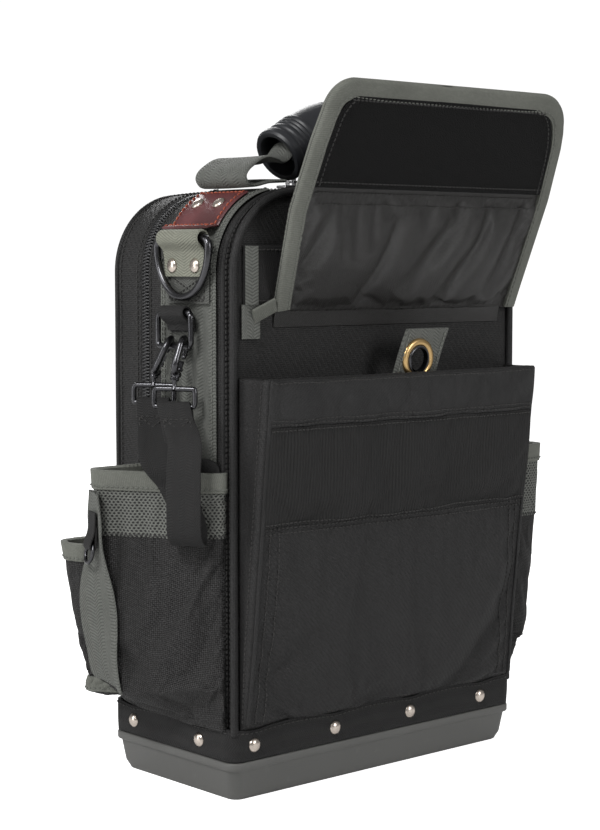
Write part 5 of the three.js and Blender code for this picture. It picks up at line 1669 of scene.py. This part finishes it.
def pouch(side, outline_at, bottom, top, levels, around, shape, seed):
    """A pocket's cloth from its outlines, creased by shape and relaxed."""
    z = np.linspace(bottom, top, levels)
    P = []
    for height in z:
        loop = resample(spline(outline_at(height), 200)[:-1], around)
        P.append(np.stack([side * loop[:, 0], loop[:, 1], np.full(around, height)], 1))
    P = np.array(P)
    if side < 0:
        P = P[:, ::-1]
    N = face_normals(P)
    U = np.broadcast_to(np.linspace(0, 1, around)[None], P.shape[:2])
    U = U if side > 0 else 1 - U
    V = P[..., 2]
    soft = np.sin(np.pi * U) ** 0.5
    out = shape(U * 100, V) * soft + 0.8 * ripple(P, 30, seed) * soft * ease((top - V) / 20)
    P = P + N * out[..., None]
    pin = np.zeros(P.shape[:2])
    pin[0] = pin[-1] = 1
    pin[:, :2] = pin[:, -2:] = 1
    pin[-int(levels * 0.1) :] = 0.9
    return relax(P, pin, grow=0.035, pressure=0.5, frames=16, cap=5.0, bending=0.35)


def strip_on(P, u0, u1, v0, v1, lift, rows=40, columns=90):
    """A grid lying over P between those rows and columns, and its normals."""
    U, V = np.meshgrid(np.linspace(u0, u1, rows), np.linspace(v0, v1, columns), indexing="ij")
    Q, N = at(P, U, V)
    return Q + N * lift, N


def turned_over(Q, N, fold, deep, back, fall):
    """The strip Q with its upper edge folded over the cloth and down behind it."""
    edge, n = Q[-1:], N[-1:]
    rows = [
        Q, edge + [0, 0, 0.9], edge - n * fold + [0, 0, 1.0], edge - n * deep,
        edge - n * back - [0, 0, fall]
    ]
    return np.concatenate(rows)


def upright(Q):
    """Q with its map turned, so that ribs stand across the strip."""
    return Q.transpose(1, 0, 2)[:, ::-1]


def wrinkled(u, z, creases, bulge, across, width, height):
    """Creases, and one soft bulge, over a pocket's face; u runs from 0 to 100 round it."""
    total = sum(crease(u, z, a, b, wide, deep) for a, b, wide, deep in creases)
    return total + bulge * np.exp(-(((u - across) / width) ** 2) - ((z - height) / 30) ** 2)


def steady(G, reach=12):
    """The rows of G with short waves taken out."""
    padded = np.concatenate([np.repeat(G[:1], reach, 0), G, np.repeat(G[-1:], reach, 0)])
    weight = np.hanning(2 * reach + 3)[1:-1]
    return np.stack([np.convolve(padded[:, k], weight / weight.sum(), "valid") for k in range(3)], 1)


def build_side_pockets():
    """The big pockets on both sides, with net, hem, corner webbing and clip loop."""
    creases = {
        -1: [
            ((30, 52), (62, 92), 6, 2.6), ((12, 60), (36, 84), 6, 1.8), ((48, 46), (80, 70), 6, 2.2),
            ((20, 120), (60, 104), 8, 1.0)
        ],
        1: [((20, 58), (50, 86), 6, 2.2), ((44, 46), (78, 76), 6, 2.0)],
    }
    bulges = {-1: (2.0, 40, 26, 118), 1: (1.5, 45, 28, 110)}
    folds = lambda side: lambda u, z: wrinkled(u, z, creases[side], *bulges[side])
    for side, word, reach, front_reach, low in ((-1, "left", 44, 6, 0.8), (1, "right", 40, 36, 0.74)):
        P = pouch(
            side, lambda z: side_outline(z, reach, front_reach, low), 41.2, 186.4, 74, 90, folds(side),
            20 + side
        )
        Soup().sheet(P, 1.8).build(
            f"side_pocket_{word}_cloth", MAT["ballistic"], nodes=[f"side_pocket_{word}"],
            slot="black_fabric"
        )
        row = lambda z: float(np.interp(z, P[:, 45, 2], np.arange(len(P))))
        first, last = 1.2, P.shape[1] - 2.2
        Q, N = strip_on(P, row(150 if side < 0 else 141), row(178), first, last, 0.55)
        Soup().sheet(upright(Q), 0.5).build(f"side_pocket_{word}_net", MAT["net"], slot="grey_webbing")
        Q, N = strip_on(P, row(176.5), len(P) - 1.0, first, last, 1.7, 12)
        Soup().sheet(upright(turned_over(Q, N, 2.2, 4.3, 4.2, 9)), 0.9).build(
            f"side_pocket_{word}_hem", MAT["binding"], slot="binding"
        )
        A, B = at(P, np.full(200, row(178.3)), np.linspace(first, last, 200))
        THREAD.row(("root", "grey"), A + B * 1.75, B, 3.0)
        A, B = at(P, np.full(200, row(151 if side < 0 else 142)), np.linspace(first, last, 200))
        THREAD.row(("root", "black"), A + B * 0.55, B, 3.0)
        # grey webbing down the rear outer corner
        at_v = 0.64 * (P.shape[1] - 1) if side > 0 else 0.36 * (P.shape[1] - 1)
        u = np.linspace(row(58), row(177), 90)
        C, N = at(P, u, np.full(90, at_v))
        beside = at(P, u, np.full(90, at_v + 1.5))[0]
        C, N, A = steady(C), unit(steady(N)), unit(steady(beside - C))
        band(C + N * 2.0, A, N, 24.5, 1.4, cup=-1.6).build(
            f"side_pocket_{word}_webbing", MAT["grey_web"], slot="grey_webbing"
        )
        for inset in (-10.6, 10.6):
            THREAD.row(("root", "grey"), C + N * 1.7 + A * inset, N, 3.0)
        if side < 0:
            # small black loop with a ring, just under the hem
            k = 74
            c, n, a = C[k] + N[k] * 2.6, N[k], A[k]
            down = unit(C[k - 4] - C[k])
            line = np.array(
                [
                    c + n * o + down * d
                    for d, o in (
                        (-6, 0.2), (0, 0.7), (6, 1.6), (11, 3.6), (14, 4.2), (15.5, 2.6), (14, 1.0),
                        (8, 0.4), (2, 0.1)
                    )
                ]
            )
            line = spline(line, 50)
            band(
                line, a, unit(np.cross(a, unit(np.gradient(line, axis=0)))), 13, 1.1
            ).build("clip_loop", MAT["black_web"], slot="black_webbing")
            w = np.linspace(0, 2 * np.pi, 40, endpoint=False)
            hoop = c + n * 3.0 + down * 17.0 + 6.2 * (
                np.cos(w)[:, None] * a + np.sin(w)[:, None] * unit(down + n * 0.25)
            )
            tube(hoop, 1.1, 10, closed=True).build("clip_ring", MAT["gunmetal"], slot="dark_metal")
            # the inner hem at the front of the pocket
            x = np.linspace(0, 1, 40)
            inner = np.array(
                [
                    np.stack([-BX - 2.5 - 6 * x, -46 + 34 * x, 186 + h + 6 * np.sin(np.pi * x**0.6)], 1)
                    for h in (-8, -3, 0, 2)
                ]
            )
            Soup().sheet(inner[:, ::-1], 1.0).build(
                "side_pocket_inner_hem", MAT["satin"], slot="black_fabric"
            )


def build_corner_pockets():
    """Small pockets on the cover's rear corners."""
    for side, word in ((-1, "left"), (1, "right")):
        P = pouch(
            side, corner_outline, 48.9, 139.4, 50, 80, lambda u,
            z: crease(u, z, (20, 60), (50, 90), 7, 1.2) + crease(u, z, (60, 52), (84, 84), 7, 1.2),
            30 + side
        )
        Soup().sheet(P, 1.7).build(
            f"corner_pocket_{word}_cloth", MAT["ballistic"], "cover", [f"corner_pocket_{word}"],
            "black_fabric"
        )
        # its floor closes the foot
        ringed = P[0]
        wall = np.stack(
            [
                np.clip(ringed[:, 0], -BX - 0.4, BX + 0.4), np.minimum(ringed[:, 1], BY + 0.4),
                ringed[:, 2] + 0.8
            ],
            1
        )
        floor = np.array([ringed * (1 - t) + wall * t for t in np.linspace(0, 1, 7)])
        Soup().sheet(floor[::-1], 1.0).build(
            f"corner_pocket_{word}_floor", MAT["ballistic"], "cover", slot="black_fabric"
        )
        row = lambda z: float(np.interp(z, P[:, 40, 2], np.arange(len(P))))
        for z0, z1, part in ((130, 139.4, "hem"), (50, 58.5, "foot")):
            Q, N = strip_on(P, row(z0), row(z1), 1.2, P.shape[1] - 2.2, 1.2, 10)
            Q = turned_over(Q, N, 2, 4, 4, 7) if part == "hem" else Q
            Soup().sheet(upright(Q), 0.9).build(
                f"corner_pocket_{word}_{part}", MAT["binding"], "cover", slot="binding"
            )
            A, B = at(P, np.full(160, row(z0 + 1.6)), np.linspace(1.5, P.shape[1] - 2.5, 160))
            THREAD.row(("cover", "grey"), A + B * 1.25, B, 3.0)


def build_rear_pocket():
    """One cloth bowed out from the cover, bound at its mouth."""
    x = np.linspace(95.7, -95.7, 110)
    z = np.linspace(0, 1, 50)
    X, T = np.meshgrid(x, z)
    full = ease(T / 0.1) * (8 / 22 + (1 - 8 / 22) * T)
    sideways = ease((95.7 - np.abs(X)) / 9)
    Y = BY + 0.4 + (21.4 * full - 0.2) * (0.04 + 0.96 * sideways)
    P = np.stack([X, Y, 50.2 + 88.6 * T], -1)
    P[..., 1] += crease(
        X, P[..., 2], (-80, 62), (-50, 100), 8, 1.2
    ) + crease(X, P[..., 2], (40, 58), (84, 92), 8, 1.3) + 0.7 * ripple(P, 36, 14)
    pin = np.zeros(P.shape[:2])
    pin[0] = pin[-1] = 1
    pin[:, :3] = pin[:, -3:] = 1
    P = relax(P, pin, grow=0.02, pressure=0.3, frames=14, cap=3, bending=0.5)
    Soup().sheet(P, 1.7).build(
        "rear_pocket_cloth", MAT["ballistic"], "cover", ["rear_pocket"], "black_fabric"
    )
    Q, N = strip_on(P, 44.0, 49.0, 0.8, 108.4, 1.2, 10, 120)
    Soup().sheet(upright(turned_over(Q, N, 2, 4, 4, 7)), 0.9).build(
        "rear_pocket_hem", MAT["binding"], "cover", slot="binding"
    )
    for u in (45.2, 3.0):
        A, B = at(P, np.full(220, u), np.linspace(2, 107, 220))
        THREAD.row(("cover", "grey" if u > 40 else "black"), A + B * (1.3 if u > 40 else 0.05), B, 3.0)


BUILDERS = [
    build_base, build_body, build_tool_panel, build_tablet_pocket, build_grommet_tab, build_flap,
    build_sides, build_tape_strap, build_handle, build_cover, build_zipper, build_slider,
    build_side_pockets, build_corner_pockets, build_rear_pocket
]


def main():
    """Builds every piece, then works out the size with and without them."""
    for build in BUILDERS:
        build()
    THREAD.build(MAT)
    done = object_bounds()
    corners = lambda box: [list(map(float, c)) for c in box]
    {"cad": corners(CAD_BOX), "visual": corners(done)}


main()
